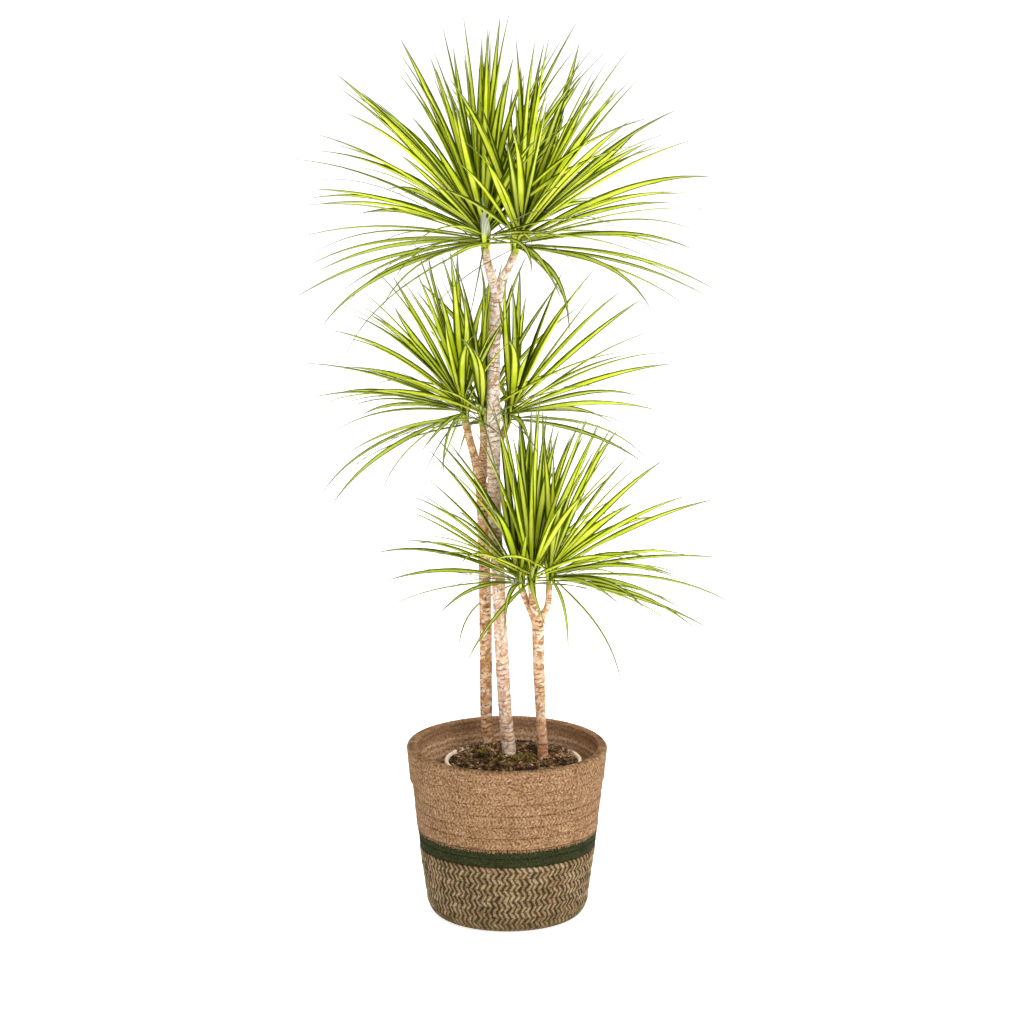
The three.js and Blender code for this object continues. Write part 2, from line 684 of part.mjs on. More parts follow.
/** Places every head's leaves, one from each head in turn, so that no head crowds another out. */
function growLeaves(heads, obstacles) {
  const wishes = heads.map((head) => wishedLeaves(head, head.place));
  const rounds = Math.max(...wishes.map((list) => list.length));
  for (let round = 0; round < rounds; round += 1) {
    heads.forEach((head, i) => {
      const options = wishes[i][round] ?? [];
      for (const way of options.length ? WAYS_CLEAR : []) {
        const clear = options
          .map((leaf) => leafStations(bentClear(leaf, way)))
          .find((stations) => isClear(railsOf(stations), head.name, obstacles));
        if (clear) {
          const rails = railsOf(clear);
          obstacles.push({ owner: head.name, rails, box: boxOf(rails) });
          head.leaves.push(clear);
          break;
        }
      }
    });
  }
}

/** The green growing tip that a head's leaves wrap round. */
function coreOf({ core, place, collar }) {
  return carried(CORE_SIDES, 2, 1, (k, angle) => {
    const point = place.base.clone().addScaledVector(place.axis, (core * k) / 2);
    if (angle === null) return point;
    const facing = k === 0 ? place.ahead : place.axis;
    const across = new THREE.Vector3(0, 1, 0).cross(facing).normalize();
    const along = new THREE.Vector3().crossVectors(facing, across);
    const radius = blend(collar, CORE_TIP_RADIUS, k / 2);
    point.addScaledVector(across, Math.cos(angle) * radius);
    return point.addScaledVector(along, Math.sin(angle) * radius);
  });
}

// ---------------------------------------------------------------- the whole plant

const plant = new THREE.Group();
const obstacles = [];
const heads = [];
const holes = [];

Object.entries(CANES).forEach(([name, cane]) => {
  plant.add(meshOf(name, buildCane(cane), cane.bark));
  holes.push(solidOf(stem(cane.trunk, CANE_SIDES, cane.trunk.length - 1, GAP)));
  const trunkRails = stemRails(cane.trunk, cane.trunk.length - 1);
  obstacles.push({ owner: name, rails: trunkRails, box: boxOf(trunkRails) });
  Object.entries(cane.branches).forEach(([headName, branch]) => {
    const place = headPlace(branch);
    const collar = branch.at(-1)[3] + CORE_COLLAR;
    const head = { name: headName, place, collar, leaves: [], ...HEADS[headName] };
    const run = place.axis.clone().multiplyScalar(head.core);
    const coreRails = [{ start: place.base, run, radius: collar + LEAF_MARGIN }];
    const rails = [...stemRails(branch, BRANCH_STEPS), ...coreRails];
    obstacles.push({ owner: headName, rails, box: boxOf(rails) });
    heads.push(head);
  });
});

growLeaves(heads, obstacles);
heads.forEach((head) => {
  const blades = head.leaves.map((stations) => blade(stations));
  const fused = wasm.Manifold.union([solidOf(coreOf(head)), ...blades]);
  plant.add(meshOf(head.name, withoutCrumbs(whole(fused)), { color: LEAF_COLOR, roughness: 0.45 }));
});

plant.add(...buildBasket(), buildPot(), buildSoil(holes));

export default plant;
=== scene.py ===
# %% [markdown]
# # A potted dragon tree
#
# Three bare canes, forked at the top, carry eight heads of narrow striped leaves. They grow in a cream
# nursery pot that stands inside a basket sewn from rope. The frame brings the plain solids of all
# sixteen pieces, and each cell below puts a finer piece in the place of one of them, worked out with
# numpy in metres in the same frame: +Z up the canes, +X to the right seen from the front.

# %% The frame and the box of its solids
import math

import bpy
import numpy as np
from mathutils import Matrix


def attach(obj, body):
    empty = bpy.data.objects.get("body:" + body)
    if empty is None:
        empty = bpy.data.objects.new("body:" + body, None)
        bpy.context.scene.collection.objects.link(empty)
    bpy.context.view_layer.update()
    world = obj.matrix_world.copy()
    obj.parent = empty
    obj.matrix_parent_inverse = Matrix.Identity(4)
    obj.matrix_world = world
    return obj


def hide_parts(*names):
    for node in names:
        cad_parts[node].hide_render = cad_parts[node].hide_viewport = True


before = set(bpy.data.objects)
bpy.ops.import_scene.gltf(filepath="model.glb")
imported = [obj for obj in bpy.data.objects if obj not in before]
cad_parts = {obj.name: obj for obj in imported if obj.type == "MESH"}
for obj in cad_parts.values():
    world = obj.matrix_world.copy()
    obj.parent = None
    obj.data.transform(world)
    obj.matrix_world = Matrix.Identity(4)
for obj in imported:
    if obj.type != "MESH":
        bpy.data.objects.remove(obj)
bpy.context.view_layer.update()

MM = 0.001
TURN = 2 * math.pi
print("solids:", sorted(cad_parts))

# %% [markdown]
# ## From numbers to a mesh
#
# Nearly every piece here is a grid of points: rows go along the piece and columns go round it. A grid
# could be built face by face, but then each piece needs loops of its own. Here one function lays the
# quads of a grid as whole arrays, a second closes its ends with fans, and a third hands it all to the
# mesh. The corner coordinates (UV) are counted in rows and columns, so a pattern can follow the weave.


# %% Grids, fans and meshes
def grid_quads(rows, cols):
    """Quads of a grid that closes on itself sideways: each joins two neighbours of a row to the next row."""
    row = np.arange(rows - 1)[:, None] * cols
    col = np.arange(cols)[None, :]
    after = (col + 1) % cols
    return np.stack([row + col, row + after, row + cols + after, row + cols + col], -1).reshape(-1, 4)


def grid_uv(rows, cols, u_scale, v_of_row):
    """UV of the same quads: u runs from 0 to u_scale round the grid, and v is the value of the row."""
    u0 = np.tile(np.arange(cols) / cols, rows - 1) * u_scale
    u1 = np.tile((np.arange(cols) + 1) / cols, rows - 1) * u_scale
    v0, v1 = np.repeat(v_of_row[:-1], cols), np.repeat(v_of_row[1:], cols)
    return np.stack([u0, v0, u1, v0, u1, v1, u0, v1], -1).reshape(-1, 2)


def fan(ring, middle, upwards):
    """Triangles from a ring of points to its middle point, facing up or down."""
    after = np.roll(ring, -1)
    middles = np.full(len(ring), middle)
    return np.stack([ring, after, middles] if upwards else [after, ring, middles], -1)


def mesh_of(name, points, quads, triangles, uv, attributes=None):
    """A mesh object at the origin from arrays of points in millimetres, faces and corner UVs."""
    mesh = bpy.data.meshes.new(name)
    corners = np.concatenate([quads.ravel(), triangles.ravel()]).astype(np.int32)
    sizes = np.concatenate([np.full(len(quads), 4), np.full(len(triangles), 3)])
    mesh.vertices.add(len(points))
    mesh.vertices.foreach_set("co", (points * MM).astype(np.float32).ravel())
    mesh.loops.add(len(corners))
    mesh.loops.foreach_set("vertex_index", corners)
    mesh.polygons.add(len(sizes))
    mesh.polygons.foreach_set("loop_start", np.concatenate([[0], np.cumsum(sizes)[:-1]]).astype(np.int32))
    mesh.polygons.foreach_set("use_smooth", np.ones(len(sizes), bool))
    mesh.uv_layers.new(name="UVMap").data.foreach_set("uv", uv.astype(np.float32).ravel())
    for key, values in (attributes or {}).items():
        mesh.attributes.new(key, "FLOAT", "POINT").data.foreach_set("value", values.astype(np.float32))
    mesh.update(calc_edges=True)
    piece = bpy.data.objects.new(name, mesh)
    bpy.context.scene.collection.objects.link(piece)
    return piece


def take_place(piece, slot, material, *nodes):
    """Gives a piece its finish and its body, and lets it stand for its solids."""
    piece.data.materials.append(material)
    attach(piece, "root")
    if nodes:
        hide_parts(*nodes)
    triangles = sum(len(p.vertices) - 2 for p in piece.data.polygons)
    size = np.ptp(np.array([c for c in piece.bound_box]), axis=0) / MM
    print(f"{piece.name}: {triangles} triangles, {size[0]:.0f} x {size[1]:.0f} x {size[2]:.0f} mm")


# %% [markdown]
# ## Turned pieces
#
# The basket and the pot are round, so each is a profile of radius and height turned about an axis.
# Blender's Screw modifier would turn one too, but a grid of points can also be pushed in and out by a
# formula before it becomes a mesh, which is how the rope gets its strands.


# %% A profile turned about an axis
def along(profile, step):
    """A profile with new points no further apart than step, at even spaces along each straight run."""
    parts = [profile[:1]]
    for start, end in zip(profile[:-1], profile[1:]):
        count = max(1, math.ceil(math.hypot(*(end - start)) / step))
        share = np.arange(1, count + 1)[:, None] / count
        parts.append(start + (end - start) * share)
    return np.concatenate(parts)


def around(cols, whole=2 * np.pi):
    """Even places round a ring of cols points: 0 up to the whole, which is a full turn or a count."""
    return np.arange(cols) / cols * whole


def capped(ring, ends, u_scale, v):
    """Points, quads, fans and UVs of a grid whose first and last rows close to two end points."""
    rows, cols = ring.shape[:2]
    first, last = np.arange(cols), np.arange(cols) + (rows - 1) * cols
    triangles = np.concatenate([fan(first, rows * cols, False), fan(last, rows * cols + 1, True)])
    caps = np.zeros((len(triangles) * 3, 2))
    caps[:, 1] = np.repeat([v[0], v[-1]], cols * 3)
    uv = np.concatenate([grid_uv(rows, cols, u_scale, v), caps])
    return np.concatenate([ring.reshape(-1, 3), ends]), grid_quads(rows, cols), triangles, uv


def turned(name, radius, height, cols, u_scale, v, x=0.0):
    """A closed turned mesh from grids of radius and height: its end rows meet the axis in a point."""
    angle, z = around(cols), np.broadcast_to(height, radius.shape)
    ring = np.stack([x + radius * np.cos(angle), radius * np.sin(angle), z], -1)
    ends = np.array([[x, 0, height[0].mean()], [x, 0, height[-1].mean()]])
    return mesh_of(name, *capped(ring, ends, u_scale, v))


# %% [markdown]
# ## Smooth random numbers
#
# Rope, soil and bark are uneven at several sizes at once. Blender has noise textures for colour, but the
# shapes here are arrays, so this is the same idea in numpy: a lattice of seeded random values, blended
# smoothly between its corners.


# %% Value noise
LATTICE = 256


def noise(x, y, seed, wrap=LATTICE):
    """Smooth noise from -1 to 1: seeded values at whole x and y, eased between them by 3t^2 - 2t^3."""
    table = np.random.default_rng(seed).uniform(-1, 1, (LATTICE, LATTICE))
    x0, y0 = np.floor(x).astype(int), np.floor(y).astype(int)
    tx, ty = x - x0, y - y0
    tx, ty = tx * tx * (3 - 2 * tx), ty * ty * (3 - 2 * ty)
    a, b, c, d = (table[(x0 + i) % wrap, (y0 + j) % LATTICE] for j in (0, 1) for i in (0, 1))
    return (a * (1 - tx) + b * tx) * (1 - ty) + (c * (1 - tx) + d * tx) * ty


# %% [markdown]
# ## Shaders as expressions
#
# A material in Blender is a graph of nodes. Written node by node, a pattern such as a chevron takes
# dozens of lines. The small class below wraps one socket and overloads the arithmetic operators, so that
# an expression such as 1 - mask * 2 adds the Math nodes by itself. Colours go through Mix nodes.


# %% A socket that can be reckoned with
class Value:
    """One output of a node. Its operators and methods add the Math nodes that the table below names."""

    def __init__(self, finish, socket):
        self.finish, self.socket = finish, socket

    def __rsub__(self, other):
        return self.finish.math("SUBTRACT", other, self)

    def smooth(self, low, high):
        """0 below low, 1 above high and an ease between them."""
        sockets = {"Value": self, "From Min": low, "From Max": high}
        return self.finish.node("ShaderNodeMapRange", {"interpolation_type": "SMOOTHSTEP"}, sockets)


MATH = {"__add__": "ADD", "__radd__": "ADD", "__sub__": "SUBTRACT", "__mul__": "MULTIPLY",
        "__rmul__": "MULTIPLY", "__gt__": "GREATER_THAN", "__abs__": "ABSOLUTE", "floor": "FLOOR",
        "frac": "FRACT", "sin": "SINE"}
for method, operation in MATH.items():
    setattr(Value, method, lambda *values, operation=operation: values[0].finish.math(operation, *values))


def srgb(code):
    """A linear colour with alpha from a six-digit hex code of screen colour."""
    parts = [int(code[i:i + 2], 16) / 255 for i in (0, 2, 4)]
    return tuple(c / 12.92 if c <= 0.04045 else ((c + 0.055) / 1.055) ** 2.4 for c in parts) + (1.0,)


class Finish:
    """A material under construction, with a shortcut for each kind of node that the pieces need."""

    def __init__(self, name, roughness, **uniform):
        self.material = bpy.data.materials.new(name)
        self.material.use_nodes = True
        self.nodes, self.links = self.material.node_tree.nodes, self.material.node_tree.links
        self.shader = self.nodes["Principled BSDF"]
        self.shader.inputs["Roughness"].default_value = roughness
        for key, value in uniform.items():
            self.shader.inputs[key.replace("_", " ")].default_value = value

    def node(self, kind, settings=(), inputs=(), output=0):
        """Adds a node: first its settings, then a value or a link for each socket. Returns one output."""
        made = self.nodes.new(kind)
        for key, value in dict(settings).items():
            setattr(made, key, value)
        for key, value in inputs.items() if isinstance(inputs, dict) else enumerate(inputs):
            if isinstance(value, Value):
                self.links.new(value.socket, made.inputs[key])
            else:
                made.inputs[key].default_value = srgb(value) if isinstance(value, str) else value
        return Value(self, made.outputs[output])

    def math(self, operation, *values):
        return self.node("ShaderNodeMath", {"operation": operation}, values)

    def vector(self, operation, *values):
        return self.node("ShaderNodeVectorMath", {"operation": operation}, values)

    def split(self, vector, count):
        """The first two or all three values of a vector."""
        return [self.node("ShaderNodeSeparateXYZ", (), [vector], k) for k in range(count)]

    def uv(self):
        """The two corner coordinates as values."""
        return self.split(self.node("ShaderNodeUVMap", {"uv_map": "UVMap"}), 2)

    def place(self, stretch=(1, 1, 1)):
        """Object coordinates in metres, each axis multiplied by its stretch."""
        return self.vector("MULTIPLY", self.node("ShaderNodeTexCoord", output="Object"), stretch)

    def axes(self):
        """Object coordinates in metres as three values."""
        return self.split(self.node("ShaderNodeTexCoord", output="Object"), 3)

    def point(self, x, y, z=0.0):
        """A vector from three values."""
        return self.node("ShaderNodeCombineXYZ", (), [x, y, z])

    def attribute(self, name):
        return self.node("ShaderNodeAttribute", {"attribute_name": name}, output="Fac")

    def noise(self, where, scale, detail=3.0, roughness=0.55):
        sockets = {"Vector": where, "Scale": scale, "Detail": detail, "Roughness": roughness}
        return self.node("ShaderNodeTexNoise", (), sockets)

    def random(self, where):
        """A random value that is the same all over each whole step of a vector."""
        return self.node("ShaderNodeTexWhiteNoise", {"noise_dimensions": "3D"}, {"Vector": where})

    def cells(self, where, scale, feature="F1", output="Distance"):
        sockets = {"Vector": where, "Scale": scale}
        return self.node("ShaderNodeTexVoronoi", {"feature": feature}, sockets, output)

    def mix(self, share, first, second):
        """Blends two colours. Sockets 0, 6 and 7 of a colour Mix are its factor and its two colours."""
        return self.node("ShaderNodeMix", {"data_type": "RGBA"}, {0: share, 6: first, 7: second}, 2)

    def coats(self, colour, *layers):
        """Lays colours over a colour, one after another, each by its share."""
        for share, tone in layers:
            colour = self.mix(share, colour, tone)
        return colour

    def ramp(self, share, stops):
        """A colour ramp from a list of (place, colour code) stops."""
        made = self.node("ShaderNodeValToRGB", (), [share])
        band = made.socket.node.color_ramp
        for place, colour in stops[1:-1]:
            band.elements.new(place).color = srgb(colour)
        for end, (place, colour) in ((0, stops[0]), (-1, stops[-1])):
            band.elements[end].position, band.elements[end].color = place, srgb(colour)
        return made

    def finish(self, colour, height=None, strength=0.5, distance=0.001, roughness=None):
        """Links the colour, and the height through a Bump node, and returns the material."""
        self.links.new(colour.socket, self.shader.inputs["Base Color"])
        if roughness:
            self.links.new(roughness.socket, self.shader.inputs["Roughness"])
        if height:
            sockets = {"Strength": strength, "Distance": distance, "Height": height}
            bump = self.node("ShaderNodeBump", (), sockets)
            self.links.new(bump.socket, self.shader.inputs["Normal"])
        return self.material


# %% [markdown]
# ## The basket
#
# The basket is one braided rope, coiled and sewn to itself course by course. The lower six courses are a
# braid of beige and dark brown strands whose V shapes stack into upright zigzags. Two narrow dark green
# courses follow, and then seven of plain jute up to a soft rolled rim. Modelling every strand as a tube
# would take millions of faces. Instead the wall is one turned grid, pushed out by a formula for the bulge
# of each course and the ridges of its strands, and the same formula colours the strands in the material.

# %% Sizes of the basket, in millimetres
FLOOR, ROPE, RIM_TOP = 10.0, 9.0, 230.0
FOOT_RADIUS, CORNER_RADIUS, CORNER_HEIGHT, RIM_RADIUS, BELLY = 82.0, 106.0, 28.0, 130.0, 1.9
CHEVRON_TOP, GREEN_TOP = 96.0, 121.0
CHEVRON_COURSES, GREEN_COURSES, JUTE_COURSES = 6, 2, 7
GAP = 0.3
RIM_RISE = 5.0  # the rim stands this much higher at the back
ZIGZAGS = 92  # upright zigzags round the basket, one for each pair of strands
ZIGZAG_SWING = 0.68  # how far a strand swings to the side in half a course, as a share of a zigzag
JUTE_STRANDS, JUTE_SWING = 150, 0.8


def wall_radius(z):
    """Radius of the basket's outside at a height: a rounded corner, then a cone with a slight belly."""
    corner = FOOT_RADIUS + (CORNER_RADIUS - FOOT_RADIUS) * np.sqrt(
        np.clip(1 - (1 - np.clip(z, 0, CORNER_HEIGHT) / CORNER_HEIGHT) ** 2, 0, 1))
    t = np.clip((z - CORNER_HEIGHT) / (RIM_TOP - CORNER_HEIGHT), 0, 1)
    wall = CORNER_RADIUS + (RIM_RADIUS - CORNER_RADIUS) * t + BELLY * np.sin(np.pi * t)
    return np.where(z < CORNER_HEIGHT, corner, wall)


def frac(v):
    """What is left of a course number above the whole number below it."""
    return v - np.floor(v)


def course_bulge(v):
    """Height of a rope's round back at a course number: 1 on the course's middle and 0 at its seams."""
    return np.sqrt(np.clip(1 - (2 * frac(v) - 1) ** 2, 0, 1)) ** 0.7


def strand_across(u, share, swing):
    """How far across the strands a point lies: up to the middle of a course they lean one way, then back.
    The share of the course may be an array or a shader's value, so shapes and colours have one rule."""
    return u - swing * (1 - abs(share * 2 - 1))


# %% [markdown]
# ### The rope's finishes
#
# Jute is a dull, hairy fibre: high roughness and no clear reflection. The materials count strands with u
# and courses with v, just as the shapes do, so the colours follow the relief. Noise that is stretched along
# the strands gives pits and fibres, and an attribute marks the inside of the basket, which has a lining of
# its own, darkened just below the rim by painted shade. The braid is painted darker towards the foot, as
# shade.


# %% Rope finishes
def make_chevron_rope():
    """Beige and dark brown strands by turns, of uneven width and shade, with dark notches where they turn."""
    rope = Finish("chevron_rope", 0.92, Specular_IOR_Level=0.12)
    u, v = rope.uv()
    where = rope.place()
    sway = (rope.noise(rope.point(u * 0.9, v * 1.4, 2.0), 1.0, 2.0) - 0.5) * 0.7
    jag = (rope.noise(where, 420.0, 3.0, 0.65) - 0.5) * 0.8
    across = strand_across(u + sway + jag, v.frac(), ZIGZAG_SWING)
    width = (rope.noise(rope.point(u * 1.7, v * 3.1, 5.0), 1.0, 2.0) - 0.5) * 0.6
    dark = (abs(across.frac() * 2 - 1) + width).smooth(0.42, 0.6)
    strand = rope.random(rope.point((across + 0.5).floor(), (v * 2).floor(), 3.0))
    beige = rope.ramp(strand, [(0.0, "6e5a3f"), (0.3, "877252"), (0.7, "9b8667"),
                               (0.94, "a99777"), (1.0, "8f6049")])
    brown = rope.ramp(strand, [(0.0, "3b2a14"), (0.6, "543e21"), (1.0, "6c5333")])
    colour = rope.mix(dark, beige, brown)
    bead = abs((v * 2).frac() * 2 - 1)
    pits = rope.noise(rope.point(u * 3.0, v * 5.0, 8.0), 1.0, 3.0, 0.65)
    notch = (bead * 0.3 + pits * 0.8).smooth(0.62, 0.74)
    colour = rope.mix(notch * 0.6, colour, "3a2a13")
    fibre = rope.noise(rope.point(across * 7, v * 5, 1.0), 1.4, 4.0, 0.65)
    colour = rope.mix(fibre.smooth(0.52, 0.66) * (1 - dark) * 0.55, colour, "cbb998")
    # Painted shade: the braid darkens to olive brown towards the foot, near the floor.
    foot_shade = (1 - (v + (pits - 0.5) * 2.0).smooth(-0.4, 2.2)) * 0.6
    colour = rope.mix(foot_shade, colour, "4c3e1c")
    return rope.finish(colour, (1 - dark) * 0.4 + fibre * 0.5 - notch * 0.5, 0.9, 0.0008)


def make_plain_rope(name, tones, pit, fleck, seam_tone, edge=None):
    """A felted rope: cloudy tones, dark pits between its leaning strands, light flecks and broken seams."""
    rope = Finish(name, 0.94, Specular_IOR_Level=0.1)
    u, v = rope.uv()
    where = rope.place()
    sway = (rope.noise(where, 190.0, 3.0) - 0.5) * 2.4
    across = strand_across(u + sway, v.frac(), JUTE_SWING)
    cloud, middling = rope.noise(where, 30.0, 3.0, 0.6), rope.noise(where, 120.0)
    speckle = rope.noise(where, 620.0)
    colour = rope.ramp(cloud * 0.4 + middling * 0.25 + speckle * 0.35, tones)
    between = 0.5 - (across * TURN).sin() * 0.5
    rough = rope.noise(rope.point(across * 2.8, v * 4.5, 2.0), 1.0, 4.0, 0.7)
    pits = (between * 0.08 + rough * 0.92).smooth(0.5, 0.6)
    colour = rope.mix(pits * 0.82, colour, pit)
    light = rope.noise(rope.point(across * 3.1, v * 4.2, 6.0), 1.0, 4.0, 0.7)
    colour = rope.mix((light * 0.92 - between * 0.08).smooth(0.42, 0.54) * 0.55, colour, fleck)
    wavy = rope.noise(rope.point(u * 0.25, v.floor() * 3.1, 4.0), 1.0, 3.0)
    near_seam = 1 - abs((v + (wavy - 0.5) * 0.2).frac() * 2 - 1)
    broken = rope.noise(rope.point(u * 0.6, v.floor() * 5.3, 7.0), 1.0, 3.0)
    dotted = broken.smooth(0.38, 0.52) * (0.6 + between * 0.4)
    seam = (1 - near_seam.smooth(0.0, 0.19)) * dotted * (1 - v.smooth(3.8, 4.8) * 0.45)
    colour = rope.mix(seam * 0.85, colour, seam_tone)
    coarse = rope.noise(rope.point(u * 1.4, v * 5.0, 3.0), 1.0, 4.0, 0.75)
    row = ((v * 2.0 + (wavy - 0.5)) * TURN).sin() * 0.5 + 0.5
    lining = rope.ramp(coarse * 0.88 + row * 0.12, LINING)
    # Painted shade: just below the rim the lining is darkened to a reddish brown, where the rim shades it.
    inside = rope.mix(v.smooth(5.9, 6.1) * 0.6, lining, "8a6240")
    colour = rope.mix(rope.attribute("inner") * 0.85, colour, inside)
    if edge:
        torn = rope.noise(rope.point(u * 1.3, 2.0, 1.0), 1.0, 5.0, 0.8)
        bite = (torn * 0.5 + speckle * 0.5).smooth(0.42, 0.6) * 0.4
        colour = rope.mix((v + bite) > float(GREEN_COURSES), colour, edge)
    return rope.finish(colour, speckle * 0.3 - pits * 0.6 - seam * 0.6, 1.0, 0.0012)


LINING = [(0.34, "7c5434"), (0.45, "c6966e"), (0.54, "eebf9a"), (0.64, "ffe8d0")]
chevron_rope = make_chevron_rope()
green_rope = make_plain_rope("green_rope", [(0.35, "25280f"), (0.5, "31351a"), (0.65, "3f4226")],
                             "1f220e", "4a4f2c", "15180a", "a9835f")
jute_rope = make_plain_rope("jute_rope", [(0.32, "765335"), (0.45, "9b7551"), (0.57, "ab8460"),
                                          (0.7, "bd9876")], "6c4628", "d6b490", "552e14")

# %% [markdown]
# ### The lower courses and the floor
#
# The braid goes on under the basket as a flat spiral, so this piece is a shell: floor, corner and six
# courses of wall. Its profile runs from the middle of the underside out to the corner, up the outside,
# over the edge and back down the inside to the middle of the floor.

# %% Chevron base
SECTION_COLS = 984
CHEVRON_ROWS = 10  # rows of points for each course of the braid
u_chevron = around(SECTION_COLS, ZIGZAGS)


def chevron_profile():
    """Radius, height, course and the push of the strands, from the underside's middle to the floor's."""
    under_r = np.array([6.0, 30.0, 55.0, 76.0, FOOT_RADIUS - 2])
    z = np.linspace(0.0, CHEVRON_TOP - GAP / 2, CHEVRON_COURSES * CHEVRON_ROWS + 1)
    v = z / CHEVRON_TOP * CHEVRON_COURSES
    inside = np.linspace(CHEVRON_TOP - GAP / 2, FLOOR + 6, 28)
    floor_r = np.array([94.0, 86.0, 60.0, 30.0, 6.0])
    radius = np.concatenate([under_r, wall_radius(z), wall_radius(inside) - ROPE, floor_r])
    height = np.concatenate([np.full(5, 0.4), z, inside, [FLOOR + 1.5, FLOOR, FLOOR, FLOOR, FLOOR]])
    course = np.concatenate([under_r / 16 - 6, v, inside / CHEVRON_TOP * CHEVRON_COURSES, -floor_r / 16])
    push = np.concatenate([np.zeros(5), np.ones(len(z)), -0.6 * np.ones(len(inside)), np.zeros(5)])
    return radius, height, course, push


radius, height, course, push = chevron_profile()
wobble = noise(u_chevron * 24 / ZIGZAGS, course[:, None] * 0.9, 5, 24) * 0.4
back = course_bulge(course)[:, None]
turns = 2 * np.pi * strand_across(u_chevron, frac(course[:, None]), ZIGZAG_SWING)
strands_out = np.abs(np.cos(turns)) * (0.75 - 0.25 * np.cos(turns))
relief = 1.0 * (back - 1) + 1.2 * strands_out + back * wobble
chevron_base = turned("rope_base", radius[:, None] + push[:, None] * relief, height[:, None],
                      SECTION_COLS, ZIGZAGS, course)
take_place(chevron_base, "chevron_rope", chevron_rope, "basket_chevron_base")

# %% [markdown]
# ### The green band and the jute wall
#
# Both are rings of wall, each a closed loop of points: up the outside, over the top edge, down the inside
# and back underneath. A ring is closed by joining its last row to its first, so it has no ends to fill.
# The jute wall's top course rolls over the rim, and its upper three courses stand a little proud, as a
# collar that is folded outwards does.


# %% Closing a ring of wall
JUTE_COLS = 750
GREEN_ROWS = 10  # rows of points for each green course
GREEN_BULGE, GREEN_RIDGE = 1.1, 0.1
u_jute = around(JUTE_COLS, JUTE_STRANDS)


def strand_ridges(course):
    """Ridges of the jute's strands: the sine of the place across them, without its sign."""
    return np.abs(np.sin(np.pi * strand_across(u_jute, frac(course), JUTE_SWING)))


def ring_mesh(name, radius, height, course, inner):
    """A mesh from a loop of rows whose last repeats the first: the repeat is dropped, its quads joined up."""
    rows, angle = radius.shape[0] - 1, around(JUTE_COLS)
    z = np.broadcast_to(height, radius.shape)
    points = np.stack([radius * np.cos(angle), radius * np.sin(angle), z], -1)[:-1].reshape(-1, 3)
    quads = grid_quads(rows + 1, JUTE_COLS) % (rows * JUTE_COLS)
    uv = grid_uv(rows + 1, JUTE_COLS, JUTE_STRANDS, course)
    values = {"inner": np.repeat(inner[:-1], JUTE_COLS)}
    return mesh_of(name, points, quads, np.zeros((0, 3), int), uv, values)


def green_profile():
    """The green band's loop of radius, height, course and side: up its outside and down its inside."""
    z = np.linspace(CHEVRON_TOP + GAP / 2, GREEN_TOP - GAP / 2, GREEN_COURSES * GREEN_ROWS + 1)
    v, ones = np.linspace(0, GREEN_COURSES, len(z)), np.ones(len(z))
    rows = ((wall_radius(z), wall_radius(z) - ROPE), (z, z), (v, v), (ones, -ones))
    return [np.concatenate([up, down[::-1], up[:1]]) for up, down in rows]


radius, height, course, side = green_profile()
back = course_bulge(course)[:, None]
wobble = noise(u_jute * 24 / JUTE_STRANDS, course[:, None] * 0.9, 5, 24) * 0.5
relief = GREEN_BULGE * (back - 1) + GREEN_RIDGE * back * strand_ridges(course[:, None]) + wobble * back
green_band = ring_mesh("rope_green_band", radius[:, None] + side[:, None] * relief, height[:, None], course,
                       side < 0)
take_place(green_band, "green_rope", green_rope, "basket_green_band")

# %% Jute wall with its rolled rim
INNER_PUSH = 0.7  # the inside bulges less than the outside
COLLAR_COURSE, COLLAR_OUT, COLLAR_LEFT = 3.9, 1.3, 1.8  # where the collar starts, and how far it stands out


def jute_profile():
    """The jute wall's loop: outside up to the rim's shoulder, half a circle over it, and down the inside."""
    shoulder = RIM_TOP - ROPE / 2
    z = np.linspace(GREEN_TOP + GAP / 2, shoulder, 78)
    turn = np.linspace(0, np.pi, 13)[1:-1]
    middle = wall_radius(shoulder) - ROPE / 2
    down = z[::-1][::2]
    radius = np.concatenate([wall_radius(z), middle + ROPE / 2 * np.cos(turn), wall_radius(down) - ROPE])
    height = np.concatenate([z, shoulder + ROPE / 2 * np.sin(turn), down])
    push = np.concatenate([np.ones(len(z)), np.cos(turn), -INNER_PUSH * np.ones(len(down))])
    course = (height - GREEN_TOP) / (RIM_TOP - GREEN_TOP) * JUTE_COURSES
    return [np.concatenate([a, a[:1]]) for a in (radius, height, push, course)]


radius, height, push, course = jute_profile()
back = course_bulge(np.clip(course, 0.5, JUTE_COURSES - 0.5))[:, None]
wobble = noise(u_jute * 20 / JUTE_STRANDS, course[:, None] * 0.8, 9, 20) * 0.7
leftness = np.clip(-np.cos(u_jute / JUTE_STRANDS * 2 * np.pi), 0, 1)
collar = (COLLAR_OUT + COLLAR_LEFT * leftness) * np.clip((course[:, None] - COLLAR_COURSE) / 0.2, 0, 1)
bulge = 0.9 - 0.5 * np.clip(course[:, None] - 4, 0, 1)
relief = bulge * (back - 1) + 0.15 * strand_ridges(course[:, None]) + back * wobble + collar
share = np.clip(course[:, None] / JUTE_COURSES, 0, 1)
sag = noise(u_jute * 9 / JUTE_STRANDS, course[:, None] * 0 + 3, 21, 9) * 0.7 * share
lifted = RIM_RISE * share * (1 + np.sin(u_jute / JUTE_STRANDS * 2 * np.pi)) / 2
jute_wall = ring_mesh("rope_jute_wall", radius[:, None] + push[:, None] * relief,
                      height[:, None] + sag + lifted, course, np.clip(-push / INNER_PUSH, 0, 1))
take_place(jute_wall, "jute_rope", jute_rope, "basket_jute_wall")
